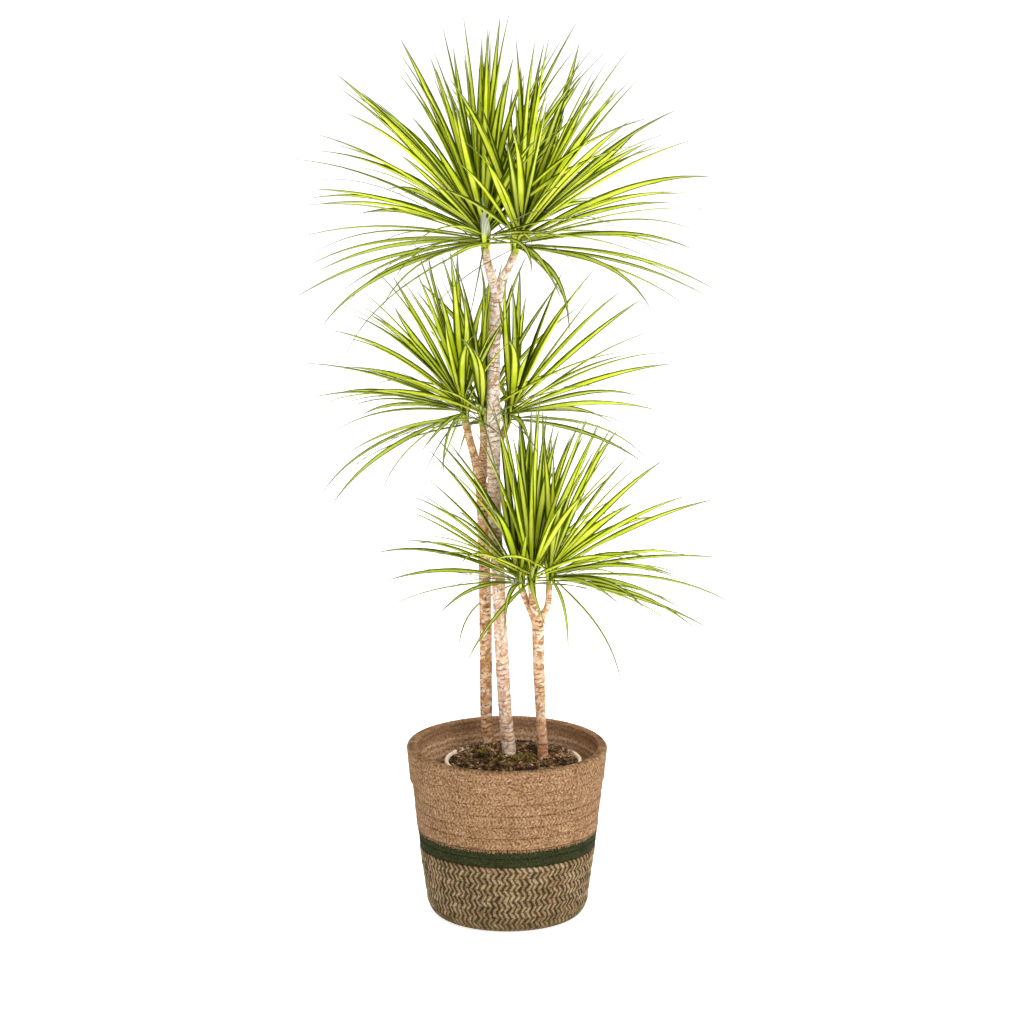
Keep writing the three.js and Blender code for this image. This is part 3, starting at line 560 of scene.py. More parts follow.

# %% [markdown]
# ## The nursery pot
#
# A thin cream pot stands inside the basket, a little right of its middle, and shows only its lip and a
# little of its inside. It is a profile too: foot, wall, a rolled lip, and the inside down to its floor.
# Moulded plastic is smooth with a soft gloss. Towards the back, deep in the basket, it is darkened to brown
# by painted shade, in blotches.

# %% Pot
POT_X, POT_FOOT_Z, POT_TOP = 7.6, 10.3, 211.0
POT_FOOT_RADIUS, POT_RADIUS, POT_LIP, POT_LIP_HEIGHT, POT_WALL = 68.0, 88.0, 2.7, 7.0, 2.2


def pot_radius(z):
    """Radius of the pot's outside below its lip, a straight cone."""
    return POT_FOOT_RADIUS + (POT_RADIUS - POT_FOOT_RADIUS) * (z - POT_FOOT_Z) / (POT_TOP - POT_FOOT_Z)


under = POT_TOP - POT_LIP_HEIGHT
lip = POT_RADIUS + POT_LIP
profile = np.array([
    [4, POT_FOOT_Z], [POT_FOOT_RADIUS - 2, POT_FOOT_Z], [POT_FOOT_RADIUS, POT_FOOT_Z + 2],
    [pot_radius(under) - 0.3, under - 0.6], [lip - 1.2, under - 0.6], [lip - 0.3, under + 0.4],
    [lip, POT_TOP - 1.6], [lip - 0.5, POT_TOP - 0.5], [lip - 1.5, POT_TOP], [POT_RADIUS - 0.9, POT_TOP],
    [POT_RADIUS - 1.8, POT_TOP - 0.6], [pot_radius(POT_TOP - 3) - POT_WALL, POT_TOP - 3],
    [pot_radius(POT_FOOT_Z + 4) - POT_WALL, POT_FOOT_Z + 4], [POT_FOOT_RADIUS - 5, POT_FOOT_Z + 2.2],
    [4, POT_FOOT_Z + 2.2]])
profile = along(profile, 14.0)
plastic = Finish("pot_plastic", 0.42)
blotch = plastic.noise(plastic.place(), 90.0, 5.0, 0.65)
_, far, _ = plastic.axes()
# Painted shade: the pot darkens to brown towards the back (+y), where the basket shades it, in blotches of
# noise.
pot_back_shade = (blotch + far * 5.0).smooth(0.68, 0.84)
plastic_finish = plastic.finish(
    plastic.mix(pot_back_shade * 0.95, "fae0c6", "6f5338"),
    plastic.noise(plastic.place(), 900.0, 2.0), 0.12, 0.0003, blotch * 0.2 + 0.34)
POT_COLS = 128
pot = turned("nursery_pot_shell", np.repeat(profile[:, :1], POT_COLS, 1), profile[:, 1:], POT_COLS, 1.0,
             profile[:, 1] / 10, POT_X)
take_place(pot, "pot_plastic", plastic_finish, "nursery_pot")

# %% [markdown]
# ## The soil
#
# Potting soil is dark peat with flakes of bark and pale crumbs in it, heaped where the canes stand, with
# a little moss. The ground is a turned grid whose top is lifted by heaps and by noise at three sizes. The
# loose flakes and crumbs are small eight-sided lumps, squashed and turned at random and strewn on it. The
# moss is made of the same lumps, green and crowded into low domes.

# %% Ground height
SOIL_EDGE = 207.5
HEAPS = [(-25, 48, 16, 26), (35, 55, 8, 25)]


def soil_radius(z):
    """Radius of the pot's inside, less a hair of clearance."""
    return pot_radius(z) - POT_WALL - 0.35


def ground(x, y):
    """Height of the soil: level at the pot's wall, then a bell for each heap, and lumps of noise."""
    share = np.hypot(x - POT_X, y) / soil_radius(SOIL_EDGE)
    inner = np.clip(1 - share ** 4, 0, 1)
    lift = 2.2 * np.sin(0.19 * x + 1) * np.cos(0.23 * y + 0.05 * x)
    for at_x, at_y, tall, wide in HEAPS:
        lift = lift + tall * np.exp(-((x - at_x) ** 2 + (y - at_y) ** 2) / wide ** 2)
    rough = (2.6 * noise(x / 8 + 40, y / 8 + 40, 31) + 1.8 * noise(x / 3.4 + 90, y / 3.4 + 90, 32)
             + 0.8 * noise(x / 1.5 + 150, y / 1.5 + 150, 33))
    return SOIL_EDGE + lift * inner + rough * np.clip(1.15 - share, 0, 0.8)


SOIL_COLS = 220
angle = around(SOIL_COLS)
side_z = np.array([POT_FOOT_Z + 3.0, 60.0, 130.0, 190.0])
top_share = np.linspace(1, 0.02, 62)
rings_r = np.concatenate([[5.0], soil_radius(side_z) - 0.2, soil_radius(SOIL_EDGE) * top_share])
top_x = POT_X + soil_radius(SOIL_EDGE) * top_share[:, None] * np.cos(angle)
top_y = soil_radius(SOIL_EDGE) * top_share[:, None] * np.sin(angle)
heights = np.concatenate([np.full((1, SOIL_COLS), side_z[0]), np.repeat(side_z[:, None], SOIL_COLS, 1),
                          ground(top_x, top_y)])
soil_mesh = turned("soil_ground", np.repeat(rings_r[:, None], SOIL_COLS, 1), heights, SOIL_COLS, 1.0,
                   np.arange(len(rings_r)) / 10, POT_X)

# %% Soil finish
SOIL_SHADE = "100a04"


def soil_shade_of(finish):
    """Painted shade: dark patches where the soil lies in shadow, the same for the peat and for what lies on
    it.
    """
    return finish.noise(finish.place(), 34.0, 2.0).smooth(0.46, 0.6)


peat = Finish("potting_soil", 0.95, Specular_IOR_Level=0.12)
where = peat.place()
clod, grain = peat.noise(where, 110.0, 6.0, 0.7), peat.cells(where, 330.0)
colour = peat.ramp(clod, [(0.38, "180e05"), (0.47, "523820"), (0.56, "8e6c48"), (0.68, "d6b894")])
moss = peat.noise(where, 24.0, 3.0).smooth(0.5, 0.66) * 0.4
# Painted shade: large dark patches stand for shadow on the soil.
colour = peat.coats(colour, (moss, "5a4f22"), (soil_shade_of(peat) * 0.85, SOIL_SHADE))
peat_finish = peat.finish(colour, clod * 0.6 + grain * 0.6, 0.9, 0.0015)
take_place(soil_mesh, "soil", peat_finish, "soil")


# %% Flakes of bark, crumbs and moss
def spun(a, b, angle):
    """Two coordinates turned by an angle in their own plane."""
    return a * np.cos(angle) - b * np.sin(angle), a * np.sin(angle) + b * np.cos(angle)


def lumps(name, seed, x, y, lift, size, squash):
    """Eight-sided lumps on the ground at x, y: six poles at random sizes, flattened, tilted and turned."""
    rng, count = np.random.default_rng(seed), len(x)
    poles = np.array([[1, 0, 0], [0, 1, 0], [-1, 0, 0], [0, -1, 0], [0, 0, 1], [0, 0, -1.0]])
    shape = poles[None] * rng.uniform(0.55, 1.3, (count, 6, 1)) * (1, squash[0], squash[1])
    shape = shape * rng.uniform(*size, (count, 1, 1))
    turn, tilt = rng.uniform(0, 2 * np.pi, (count, 1)), rng.normal(0, 0.45, (count, 1))
    sx, sz = spun(shape[..., 0], shape[..., 2], tilt)
    sx, sy = spun(sx, shape[..., 1], turn)
    z = sz + (ground(x, y) + lift)[:, None]
    points = np.stack([sx + x[:, None], sy + y[:, None], z], -1).reshape(-1, 3)
    upper = np.array([[0, 1, 4], [1, 2, 4], [2, 3, 4], [3, 0, 4]])
    faces = np.concatenate([upper, np.where(upper == 4, 5, upper)[:, [1, 0, 2]]])
    triangles = (faces[None] + np.arange(count)[:, None, None] * 6).reshape(-1, 3)
    piece = mesh_of(name, points, np.zeros((0, 4), int), triangles, np.zeros((len(triangles) * 3, 2)),
                    {"kind": np.repeat(rng.uniform(0, 1, count), 6)})
    piece.data.shade_flat()
    return piece


def on_pot(away, at):
    """x and y of places that are so far from the pot's middle, at an angle."""
    return POT_X + away * np.cos(at), away * np.sin(at)


def strewn(count, seed, reach):
    """Even random places on the soil within reach of the pot's middle."""
    rng = np.random.default_rng(seed)
    return on_pot(reach * np.sqrt(rng.uniform(0, 1, count)), rng.uniform(0, 2 * np.pi, count))


def banked(count, seed):
    """Random places along the back half of the pot's lip, where crumbs have spilled over it."""
    rng = np.random.default_rng(seed)
    at = np.radians(rng.uniform(30, 150, count))
    return on_pot(rng.uniform(POT_RADIUS - 3.5, POT_RADIUS + 2.0, count), at)


def clumped(clumps, each, seed):
    """Places in clumps (x, y, width, height), and a lift that makes a dome of each clump."""
    rng = np.random.default_rng(seed)
    middle = np.repeat(np.array(clumps, float), each, axis=0)
    away, at = np.sqrt(rng.uniform(0, 1, len(middle))), rng.uniform(0, 2 * np.pi, len(middle))
    x, y = (middle[:, k] + middle[:, 2] * away * f(at) for k, f in ((0, np.cos), (1, np.sin)))
    return x, y, middle[:, 3] * np.sqrt(1 - away ** 2) - 0.4


def chip_finish(name, tones):
    """Chips of one tone each, picked by their kind, with a darker grain, and darkened by the soil's painted
    shade.
    """
    chip = Finish(name, 0.9, Specular_IOR_Level=0.15)
    grain = chip.noise(chip.place((1, 1, 3)), 500.0, 4.0)
    colour = chip.mix(grain.smooth(0.45, 0.62) * 0.5, chip.ramp(chip.attribute("kind"), tones), "2a1a0c")
    # Painted shade: chips darken in the same patches of shadow as the peat.
    return chip.finish(chip.mix(soil_shade_of(chip) * 0.78, colour, SOIL_SHADE), grain, 0.5)


MOSS_CLUMPS = [(7, 8, 9, 6), (-13, 10, 7, 3.5), (30, 6, 8, 3.5), (20, 20, 8, 4), (52, 14, 6, 3),
               (-34, 24, 8, 3)]
bark_chips = chip_finish("bark_chips", [(0.0, "2a1a0c"), (0.35, "5b4025"), (0.64, "8f6e49"), (0.84, "b5926a"),
                                        (0.96, "d0ae88"), (1.0, "f0d6b4")])
moss_green = chip_finish("moss", [(0.0, "3c3413"), (0.4, "72602a"), (0.7, "98843e"), (1.0, "bea468")])
x, y = strewn(420, 41, 81)
flakes = lumps("bark_flakes", 43, x, y, 0.6, (2.2, 5.6), (0.5, 0.28))
take_place(flakes, "soil", bark_chips)
x, y = strewn(1500, 42, 83)
rim_x, rim_y = banked(420, 47)
on_rim = np.repeat([0.4, POT_TOP - SOIL_EDGE], [len(x), len(rim_x)])
crumbs = lumps("soil_crumbs", 44, np.append(x, rim_x), np.append(y, rim_y), on_rim, (0.9, 3.0), (0.45, 0.4))
take_place(crumbs, "soil", bark_chips)
x, y, lift = clumped(MOSS_CLUMPS, 150, 45)
tufts = lumps("moss_tufts", 46, x, y, lift, (0.7, 1.9), (0.8, 0.8))
take_place(tufts, "soil", moss_green)

# %% [markdown]
# ## The canes
#
# A dragon tree's cane is bare below its leaves and marked with the scars of the leaves that it dropped:
# short crescents that go part of the way round, one above another. The cane itself is a circle carried
# along a smooth curve through a few measured points. A Bezier curve with a bevel would also do, but here
# each ring is computed, so the scars can be pressed into the surface and the same scars coloured brown.

# %% The canes' measured points: x, y, z and radius in millimetres
CANES = {
    "cane_tall": {
        "trunk": [[3, 27, 112, 9], [2, 27, 207, 9.3], [-2, 26, 257, 8.8], [-7, 24, 337, 9],
                  [-12, 21, 449, 8.8], [-17, 19, 544, 8.6], [-18, 16, 657, 8.9], [-18, 15, 735, 8.3],
                  [-16, 13, 796, 7.9], [-14, 12, 832, 8.3], [-14, 12, 842, 5.4]],
        "head_tall_left": [[-14, 12, 826, 7.4], [-19, 12, 850, 6.2], [-26, 11, 876, 5.5],
                           [-29, 11, 895, 5.6]],
        "head_tall_right": [[-13, 12, 826, 7.2], [-8, 12, 849, 5.8], [3, 11, 872, 4.9], [10, 11, 889, 5.2]],
    },
    "cane_middle": {
        "trunk": [[-24, 50, 112, 8], [-25, 50, 217, 8], [-28, 49, 260, 8.1], [-29, 46, 387, 8.2],
                  [-31, 44, 487, 7.8], [-33, 43, 552, 7.8], [-36, 42, 581, 8.4], [-36, 42, 590, 6]],
        "head_middle_left": [[-36, 42, 576, 7.2], [-42, 42, 606, 5.8], [-50, 41, 636, 5.1],
                             [-56, 40, 663, 5.2]],
        "head_middle_centre": [[-36, 42, 576, 7], [-33, 42, 604, 5.4], [-31, 41, 633, 4.9],
                               [-32, 40, 655, 4.9]],
        "head_middle_right": [[-35, 43, 576, 6.8], [-28, 49, 597, 5], [-14, 55, 621, 4.6], [0, 60, 651, 4.8]],
    },
    "cane_short": {
        "trunk": [[48, 12, 112, 6.8], [47, 12, 205, 7], [44, 6, 269, 6.8], [41, 0, 343, 7.5],
                  [40, -5, 399, 7.9], [40, -5, 407, 6]],
        "head_short_left": [[39, -5, 394, 6.2], [31, -3, 413, 4.8], [24, -1, 428, 4.4], [18, 0, 446, 4.6]],
        "head_short_centre": [[39, -5, 394, 6.4], [36, -7, 414, 5.4], [33, -10, 431, 5.2],
                              [32, -13, 449, 5.2]],
        "head_short_right": [[41, -5, 394, 6], [46, -5, 408, 4.6], [53, -5, 423, 4.2], [55, -5, 454, 4.4]],
    },
}


# %% [markdown]
# A Catmull-Rom curve passes through its points, and its direction at each is that of the line between
# the two beside it. Points that the ends lack are made by running the end pieces straight on.


# %% Smooth curves and stems
def curve_points(points, t):
    """A Catmull-Rom curve through points at t from 0 to 1: cubics with half-difference slopes."""
    p = np.asarray(points, float)
    p = np.concatenate([[2 * p[0] - p[1]], p, [2 * p[-1] - p[-2]]])
    at = np.clip(t, 0, 1) * (len(points) - 1)
    i = np.minimum(at.astype(int), len(points) - 2)
    w = (at - i)[:, None]
    a, b, c, d = p[i], p[i + 1], p[i + 2], p[i + 3]
    s0, s1 = (c - a) * 0.5, (d - b) * 0.5
    return (2 * b - 2 * c + s0 + s1) * w ** 3 + (-3 * b + 3 * c - 2 * s0 - s1) * w ** 2 + s0 * w + b


def curve_ahead(points, t):
    """The curve's direction at t, from two places just before and after it."""
    tiny = 1e-4
    run = curve_points(points, np.minimum(t + tiny, 1)) - curve_points(points, np.maximum(t - tiny, 0))
    return run / np.linalg.norm(run, axis=1, keepdims=True)


def stem_frame(points, t):
    """Middles, radii and the two directions across a stem at t: one crosses the y axis, the other both."""
    points = np.asarray(points, float)
    at = t * (len(points) - 1)
    radius = np.interp(at, np.arange(len(points)), points[:, 3])
    ahead = curve_ahead(points[:, :3], t)
    right = np.cross([0.0, 1.0, 0.0], ahead)
    right /= np.linalg.norm(right, axis=1, keepdims=True)
    return curve_points(points[:, :3], t), radius, right, np.cross(ahead, right), ahead


def scar_depth(angle, length, seed, pitch):
    """Leaf scars: a thin dent where the height in pitches, wavy by noise round the cane, is near a whole
    number, and only where a slower noise is high, so each scar goes part of the way round."""
    wave = noise(angle / (2 * np.pi) * 6, length / 19, seed, 6) * 0.34
    phase = length / pitch + wave
    near = np.abs(phase - np.round(phase))
    part = noise(angle / (2 * np.pi) * 4, length / 9, seed + 1, 4)
    return np.clip(1 - near / 0.2, 0, 1) * np.clip(0.5 + part * 1.6, 0, 1)


# columns of points, space between rings, space between scars and their depth, the last three in millimetres
TRUNK_RINGS, BRANCH_RINGS = (40, 0.9, 6.2, 0.5), (26, 0.8, 3.4, 0.16)


def stem_part(points, seed, branch):
    """Points, faces, UVs and attributes of one stem: rings of its radius, dented by its scars."""
    cols, spacing, pitch, dent = BRANCH_RINGS if branch else TRUNK_RINGS
    length = np.linalg.norm(np.diff(np.asarray(points, float)[:, :3], axis=0), axis=1).sum()
    count = max(6, int(length / spacing))
    t = np.linspace(0, 1, count + 1)
    middle, radius, right, forward, ahead = stem_frame(points, t)
    run = np.concatenate([[0], np.cumsum(np.linalg.norm(np.diff(middle, axis=0), axis=1))])
    angle = around(cols)[None, :]
    scar = scar_depth(np.broadcast_to(angle, (count + 1, cols)), run[:, None] + 0 * angle, seed, pitch)
    swell = noise(angle / (2 * np.pi) * 3, run[:, None] / 24, seed + 2, 3)
    size = radius[:, None] * (1 + 0.035 * swell) - dent * scar
    size[-1] *= 0.9
    ring = (middle[:, None] + right[:, None] * (size * np.cos(angle))[..., None]
            + forward[:, None] * (size * np.sin(angle))[..., None])
    ends = np.concatenate([middle[:1], middle[-1:] + ahead[-1:] * 0.25])
    young = np.append(np.repeat(t, cols), [0.0, 1.0]) * branch
    return *capped(ring, ends, 1.0, run), {"scar": np.append(scar.ravel(), [0.0, 0.0]), "young": young}


def joined(parts):
    """Puts parts into one set of arrays, with the faces of each counted on from the points before it."""
    starts = np.cumsum([0] + [len(p[0]) for p in parts[:-1]])
    quads, triangles = (np.concatenate([p[k] + start for p, start in zip(parts, starts)]) for k in (1, 2))
    uv = np.concatenate([p[3][:len(p[1]) * 4] for p in parts] + [p[3][len(p[1]) * 4:] for p in parts])
    values = {key: np.concatenate([p[4][key] for p in parts]) for key in parts[0][4]}
    return np.concatenate([p[0] for p in parts]), quads, triangles, uv, values


# %% [markdown]
# ### Bark
#
# The tall cane is the palest, a pinkish cream that flakes to brown. The others are tanner. Each bark
# starts from a patchy ground, then gets its brown scars from the attribute that the shape left on the
# mesh, then dark specks. Towards a branch's end the bark is young and turns yellow-green.


# %% Bark finishes
BARK_PLACES = (0.25, 0.4, 0.52, 0.62, 0.75)  # where the five ground tones stand on their ramp
FLAKE_CELLS = 138.0


def make_bark(name, ground_tones, warm_tone, scar_tone, speck_tone, foot_tone, pallor, seed):
    """Ragged flakes of the ground tones, dark gaps, scars, specks, a foot of its own tone and a pale upper
    part.
    The foot is redder on the brown canes, and on the pale cane it is painted light, lighter where the basket
    shades it.
    """
    bark = Finish(name, 0.85, Specular_IOR_Level=0.2)
    where = bark.place()
    shifted = bark.vector("ADD", where, (seed, seed * 0.7, 0.0))
    torn = (bark.noise(where, 260.0, 3.0) - 0.5) * 0.009
    squat = bark.vector("MULTIPLY", bark.vector("ADD", shifted, torn), (1.0, 1.0, 1.5))
    flake = bark.cells(squat, FLAKE_CELLS, output="Color")
    patch = bark.noise(squat, 105.0, 3.0, 0.6)
    ground = bark.ramp(flake * 0.6 + patch * 0.4, list(zip(BARK_PLACES, ground_tones)))
    hue = bark.noise(squat, 70.0, 3.0, 0.6)
    _, _, up = bark.axes()
    height = up.smooth(0.5, 0.62) * (1 - up.smooth(0.84, 0.92))
    mottle = bark.noise(squat, 150.0, 4.0, 0.65)
    edge = bark.cells(squat, FLAKE_CELLS, "DISTANCE_TO_EDGE")
    gap = (1 - edge.smooth(0.0, 0.2)) * mottle.smooth(0.46, 0.56)
    scar = bark.attribute("scar")
    fine = bark.noise(squat, 300.0, 2.0, 0.6)
    speck = (fine * 0.5 + mottle * 0.5).smooth(0.56, 0.65)
    colour = bark.coats(
        ground, (hue.smooth(0.5, 0.58) * 0.5, warm_tone),
        # The foot's own tone, and on the pale cane painted light, lighter where the basket shades the foot.
        ((1 - up.smooth(0.2, 0.27)) * (patch.smooth(0.38, 0.54) * 0.85), foot_tone),
        (height * patch.smooth(0.42, 0.52) * pallor, "fff2ea"),
        (gap * 0.6, scar_tone),
        ((scar * (mottle * 2.0)).smooth(0.2, 0.7) * 0.85, scar_tone),
        (speck * 0.62, speck_tone),
        (bark.attribute("young").smooth(0.8, 1.0) * 0.75, "a8b040"))
    return bark.finish(colour, flake * 0.35 - gap * 0.5 - scar * 0.4 - speck * 0.1, 0.8, 0.001)


# The pale cane's foot tone is painted light: lighter where the basket shades its foot.
pale_bark = make_bark("pale_bark", ("cc9c72", "e9c098", "f8dabc", "fee9d6", "fff6ea"),
                      "f9cabc", "966540", "86552f", "ffecd4", 0.85, 0.0)
brown_bark = make_bark("brown_bark", ("a67444", "d6a270", "efc296", "fad8b4", "fff0da"),
                       "e9b494", "724c2c", "664020", "d08a48", 0.0, 3.0)
tan_bark = make_bark("tan_bark", ("ae7a48", "daaa7c", "eec49c", "f9dabc", "fff0dc"),
                     "efb48a", "7e5530", "6c4322", "d8865e", 0.0, 7.0)

# %% Build the canes
CANE_LOOKS = {"cane_tall": ("pale_bark", pale_bark), "cane_middle": ("brown_bark", brown_bark),
              "cane_short": ("brown_bark", tan_bark)}
for number, (node, stems) in enumerate(CANES.items()):
    parts = [stem_part(points, 50 + 7 * number + k, key != "trunk")
             for k, (key, points) in enumerate(stems.items())]
    slot, finish = CANE_LOOKS[node]
    take_place(mesh_of(node + "_bark", *joined(parts)), slot, finish, node)

# %% [markdown]
# ## The leaves
#
# Each head is a spray of long narrow leaves round a short growing tip. The middle leaves are young,
# upright and bright, the outer ones arch and hang and are thinner and greyer. The solids place them by
# a seeded rule: some aim at tips that the photograph shows, the rest follow the golden angle, and a leaf
# that would touch another head tries other ways or is dropped. The same rule is written again here, so
# the fine leaves grow exactly where the plain ones stand.

# %% The heads: seed, leaf size, growing tip, number of filling leaves, and tips seen (side and up, in cm)
HEADS = {
    "head_tall_left": (11, 290, 13, 42, 26, [
        [3, 30.3], [-11, 28.7], [-5.2, 27.8], [-4.2, 28.3], [0.4, 27.8], [12.5, 9.5], [-19, 23],
        [-16.5, 22.5], [-17.5, 16.5], [3, 15], [-3.5, 17], [1.5, 26.5], [-18.5, 12], [-23.5, 7.5],
        [-22, 6.5], [-17, 6], [-21, 4], [-23.5, -2], [-21, -4.5], [-19.5, -5], [-24.5, -8], [-19, -8],
        [-20.5, -12], [-18.5, -14.5]]),
    "head_tall_right": (12, 285, 13, 42, 24, [
        [0.1, 27.6], [8.4, 29.4], [2.5, 26.5], [8.6, 25.3], [-0.8, 15], [-3, 5.5], [10, 23], [13.5, 23.5],
        [15.5, 22], [15.5, 19.5], [4, 18], [-7, 13], [10, 12], [16.5, 18], [20.5, 18], [17.5, 16], [18, 13],
        [12, 8.5], [25, 9], [22, 9], [19.5, 5], [21.5, 1.5], [22.5, -1], [26.5, -5], [24.5, -7], [23, -7],
        [17, -9.5], [8, -7.5], [6.5, -13]]),
    "head_middle_left": (13, 235, 12.4, 36, 16, [
        [-21, 7], [-16, 7.5], [-15, 10], [-13, 15], [-13, 16.5], [-9.5, 16], [-7.5, 17], [-3.5, 16],
        [0, 15.5], [-19.5, 2], [-16.5, 2.5], [-18, -2], [-13, -0.5], [-19, -11], [-17, -12.5],
        [-11.5, -11], [-5.5, -5.5], [-4, -8.5]]),
    "head_middle_centre": (14, 240, 12.4, 34, 16, [[-4.5, 24.5], [-0.5, 23], [2, 16.5], [-3.5, -4]]),
    "head_middle_right": (28, 245, 12.4, 36, 18, [
        [0.5, 18], [2.5, 18.5], [11.5, 20.5], [18, 17.5], [15.5, 8.5], [22, 8.5], [20.5, 2], [15, 0],
        [17.5, -6]]),
    "head_short_left": (16, 225, 11.8, 30, 16, [
        [-14, 12], [-14.5, 10], [-15, 6], [-17.5, 0.5], [-10.5, -4], [-8, -9], [-2, -7], [-12, 18.5],
        [-8.5, 18]]),
    "head_short_centre": (17, 255, 11.8, 34, 18, [
        [-5.5, 25], [-2, 25.5], [1, 26], [2.5, 21], [7.5, 24], [9, 23]]),
    "head_short_right": (18, 240, 11.8, 32, 14, [
        [8, 18], [15.5, 17], [11.5, 15.5], [11.5, 11], [21.5, 11], [14.5, 9], [22.5, 3], [18.5, 3.5],
        [12.5, 3], [17.5, 0.5], [25, -4], [10.5, 0], [9, -3.5], [17, -4], [12, -4], [21.5, -7],
        [19, -7], [17.5, -7.5], [9.5, -15.5]]),
}
SPEAR = ("head_tall_left", -118, 80, 60, 15)  # a leaf that is still rolled up: turn, lift, length, width
ROLLED, WITHERED_AGE = -1.0, 1.5  # ages past the ends of the scale from 0, young, to 1, old
ROOT_OUT, OLD_WIDTH, SWEEP, PATH_STEPS = 3.8, 0.55, 24, 24
CORE_COLLAR = 1.6
SIGHT_SLOPE, GOLDEN_ANGLE, RIM_CLEARANCE, LEAF_MARGIN = 0.26, 137.508, 255.0, 0.45
# ways to bend a leaf clear: degrees added to its turn and lift, and its share of the length
WAYS_CLEAR = [(0, 0, 1), (0, 6, 1), (0, -6, 1), (8, 0, 1), (-8, 0, 1), (13, 7, 1), (-13, 7, 1),
              (18, -7, 0.95), (-18, -7, 0.95), (26, 9, 0.9), (-26, 9, 0.9), (6, 14, 0.75),
              (34, -5, 0.75), (-34, -5, 0.75)]

# %% [markdown]
# A leaf leaves its root at an angle, the lift, and falls away from it by the bend as the square of the
# distance along it, as a blade does that is stiff at its base and weak at its tip. It twists to face the
# light. Its width follows a narrow sheath, a widest place at two fifths and a long drawn-out tip.


# %% The shape of one leaf
WIDEST = 0.38  # where a leaf is widest, as a share of its length


def leaf_width(s):
    """Width at a share s of the length: an eased rise to 1, then 1 less the rest to the power 1.45."""
    rise = 0.42 + 0.58 * np.sin(np.minimum(s, WIDEST) / WIDEST * (np.pi / 2))
    return np.where(s < WIDEST, rise, 1 - np.clip((s - WIDEST) / 0.62, 0, 1) ** 1.45)


def level(turn):
    """The level direction at an angle."""
    return np.array([math.cos(turn), math.sin(turn), 0.0])


def heading_of(leaf, s):
    """The direction that a leaf heads in at s: it swings past its turn by the sweep, as the square of s."""
    return leaf["turn"] + leaf["sweep"] * (s * s - 1 / 3)


def leaf_path(leaf):
    """The middle line: 24 equal steps, each at the slope of its middle, lift less bend times s squared."""
    s = (np.arange(PATH_STEPS) + 0.5) / PATH_STEPS
    slope, heading = leaf["lift"] - leaf["bend"] * s * s, heading_of(leaf, s)
    steps = np.stack([np.cos(slope) * np.cos(heading), np.cos(slope) * np.sin(heading), np.sin(slope)], -1)
    path = np.concatenate([np.zeros((1, 3)), np.cumsum(steps, axis=0)]) * (leaf["length"] / PATH_STEPS)
    return leaf["root"] + ROOT_OUT * level(leaf["turn"]) + path


def leaf_stations(leaf, places):
    """Middle, direction across, direction out of the face, and width at some of the path's 24 steps."""
    s = np.asarray(places) / PATH_STEPS
    path = leaf_path(leaf)
    middle = np.stack([np.interp(places, np.arange(PATH_STEPS + 1), path[:, k]) for k in range(3)], -1)
    slope = leaf["lift"] - leaf["bend"] * s * s
    c, d = np.cos(heading_of(leaf, s)), np.sin(heading_of(leaf, s))
    side = np.stack([-d, c, 0 * s], -1)
    face = np.stack([-np.sin(slope) * c, -np.sin(slope) * d, np.cos(slope)], -1)
    twist = (leaf["twist"] * np.minimum(1, s * 2))[:, None]
    across, out = side * np.cos(twist) + face * np.sin(twist), face * np.cos(twist) - side * np.sin(twist)
    return middle, across, out, leaf["width"] * leaf_width(s)


# %% [markdown]
# A leaf whose tip is seen at a place in the photograph has two answers: its length lets it point towards
# the viewer or away. Both come from one square root, and the first that touches no other head is kept.


# %% Aiming a leaf at a tip
def chord_of(bend):
    """How a bend turns and shortens the straight line from root to tip, found on a leaf of length 1."""
    flat = leaf_path({"root": np.array([-ROOT_OUT, 0.0, 0.0]), "turn": 0.0, "lift": 0.0, "bend": bend,
                      "sweep": 0.0, "length": 1.0})[-1]
    return math.atan2(-flat[2], flat[0]), math.hypot(flat[0], flat[2])


def leaf_to_tip(root, base, side, up, bend, length, behind):
    """Turn, lift and length of a leaf from root to the tip seen at side and up of base."""
    fall, share = chord_of(bend)
    x, rise, span = base[0] + side - root[0], base[2] + up - root[2], length * share
    square = 1 + SIGHT_SLOPE ** 2
    middle = SIGHT_SLOPE * rise / square
    room = middle ** 2 - (x * x + rise * rise - span * span) / square
    back = middle + behind * math.sqrt(room) if room > 0 else 0.0
    z = rise - SIGHT_SLOPE * back
    away = math.hypot(x, back)
    return {"turn": math.atan2(back, x), "lift": math.atan2(z, away) + fall,
            "length": math.hypot(away, z) / share}


# %% [markdown]
# The random numbers must be the very ones that the solids drew. The generator is four lines of 32-bit
# arithmetic, so it gives the same numbers in any language.


# %% Seeded random numbers
def random_from(seed):
    """A function that gives numbers from 0 to 1: it adds a constant, then mixes the bits."""
    full, state = 0xFFFFFFFF, [seed]

    def draw():
        state[0] = (state[0] + 0x6D2B79F5) & full
        mixed = ((state[0] ^ (state[0] >> 15)) * (1 | state[0])) & full
        mixed = (((mixed + (((mixed ^ (mixed >> 7)) * (61 | mixed)) & full)) & full) ^ mixed) & full
        return ((mixed ^ (mixed >> 14)) & full) / 4294967296
    return draw


def blend(low, high, share):
    return low + (high - low) * share


def held(value, low=0.0, high=1.0):
    return max(low, min(high, value))


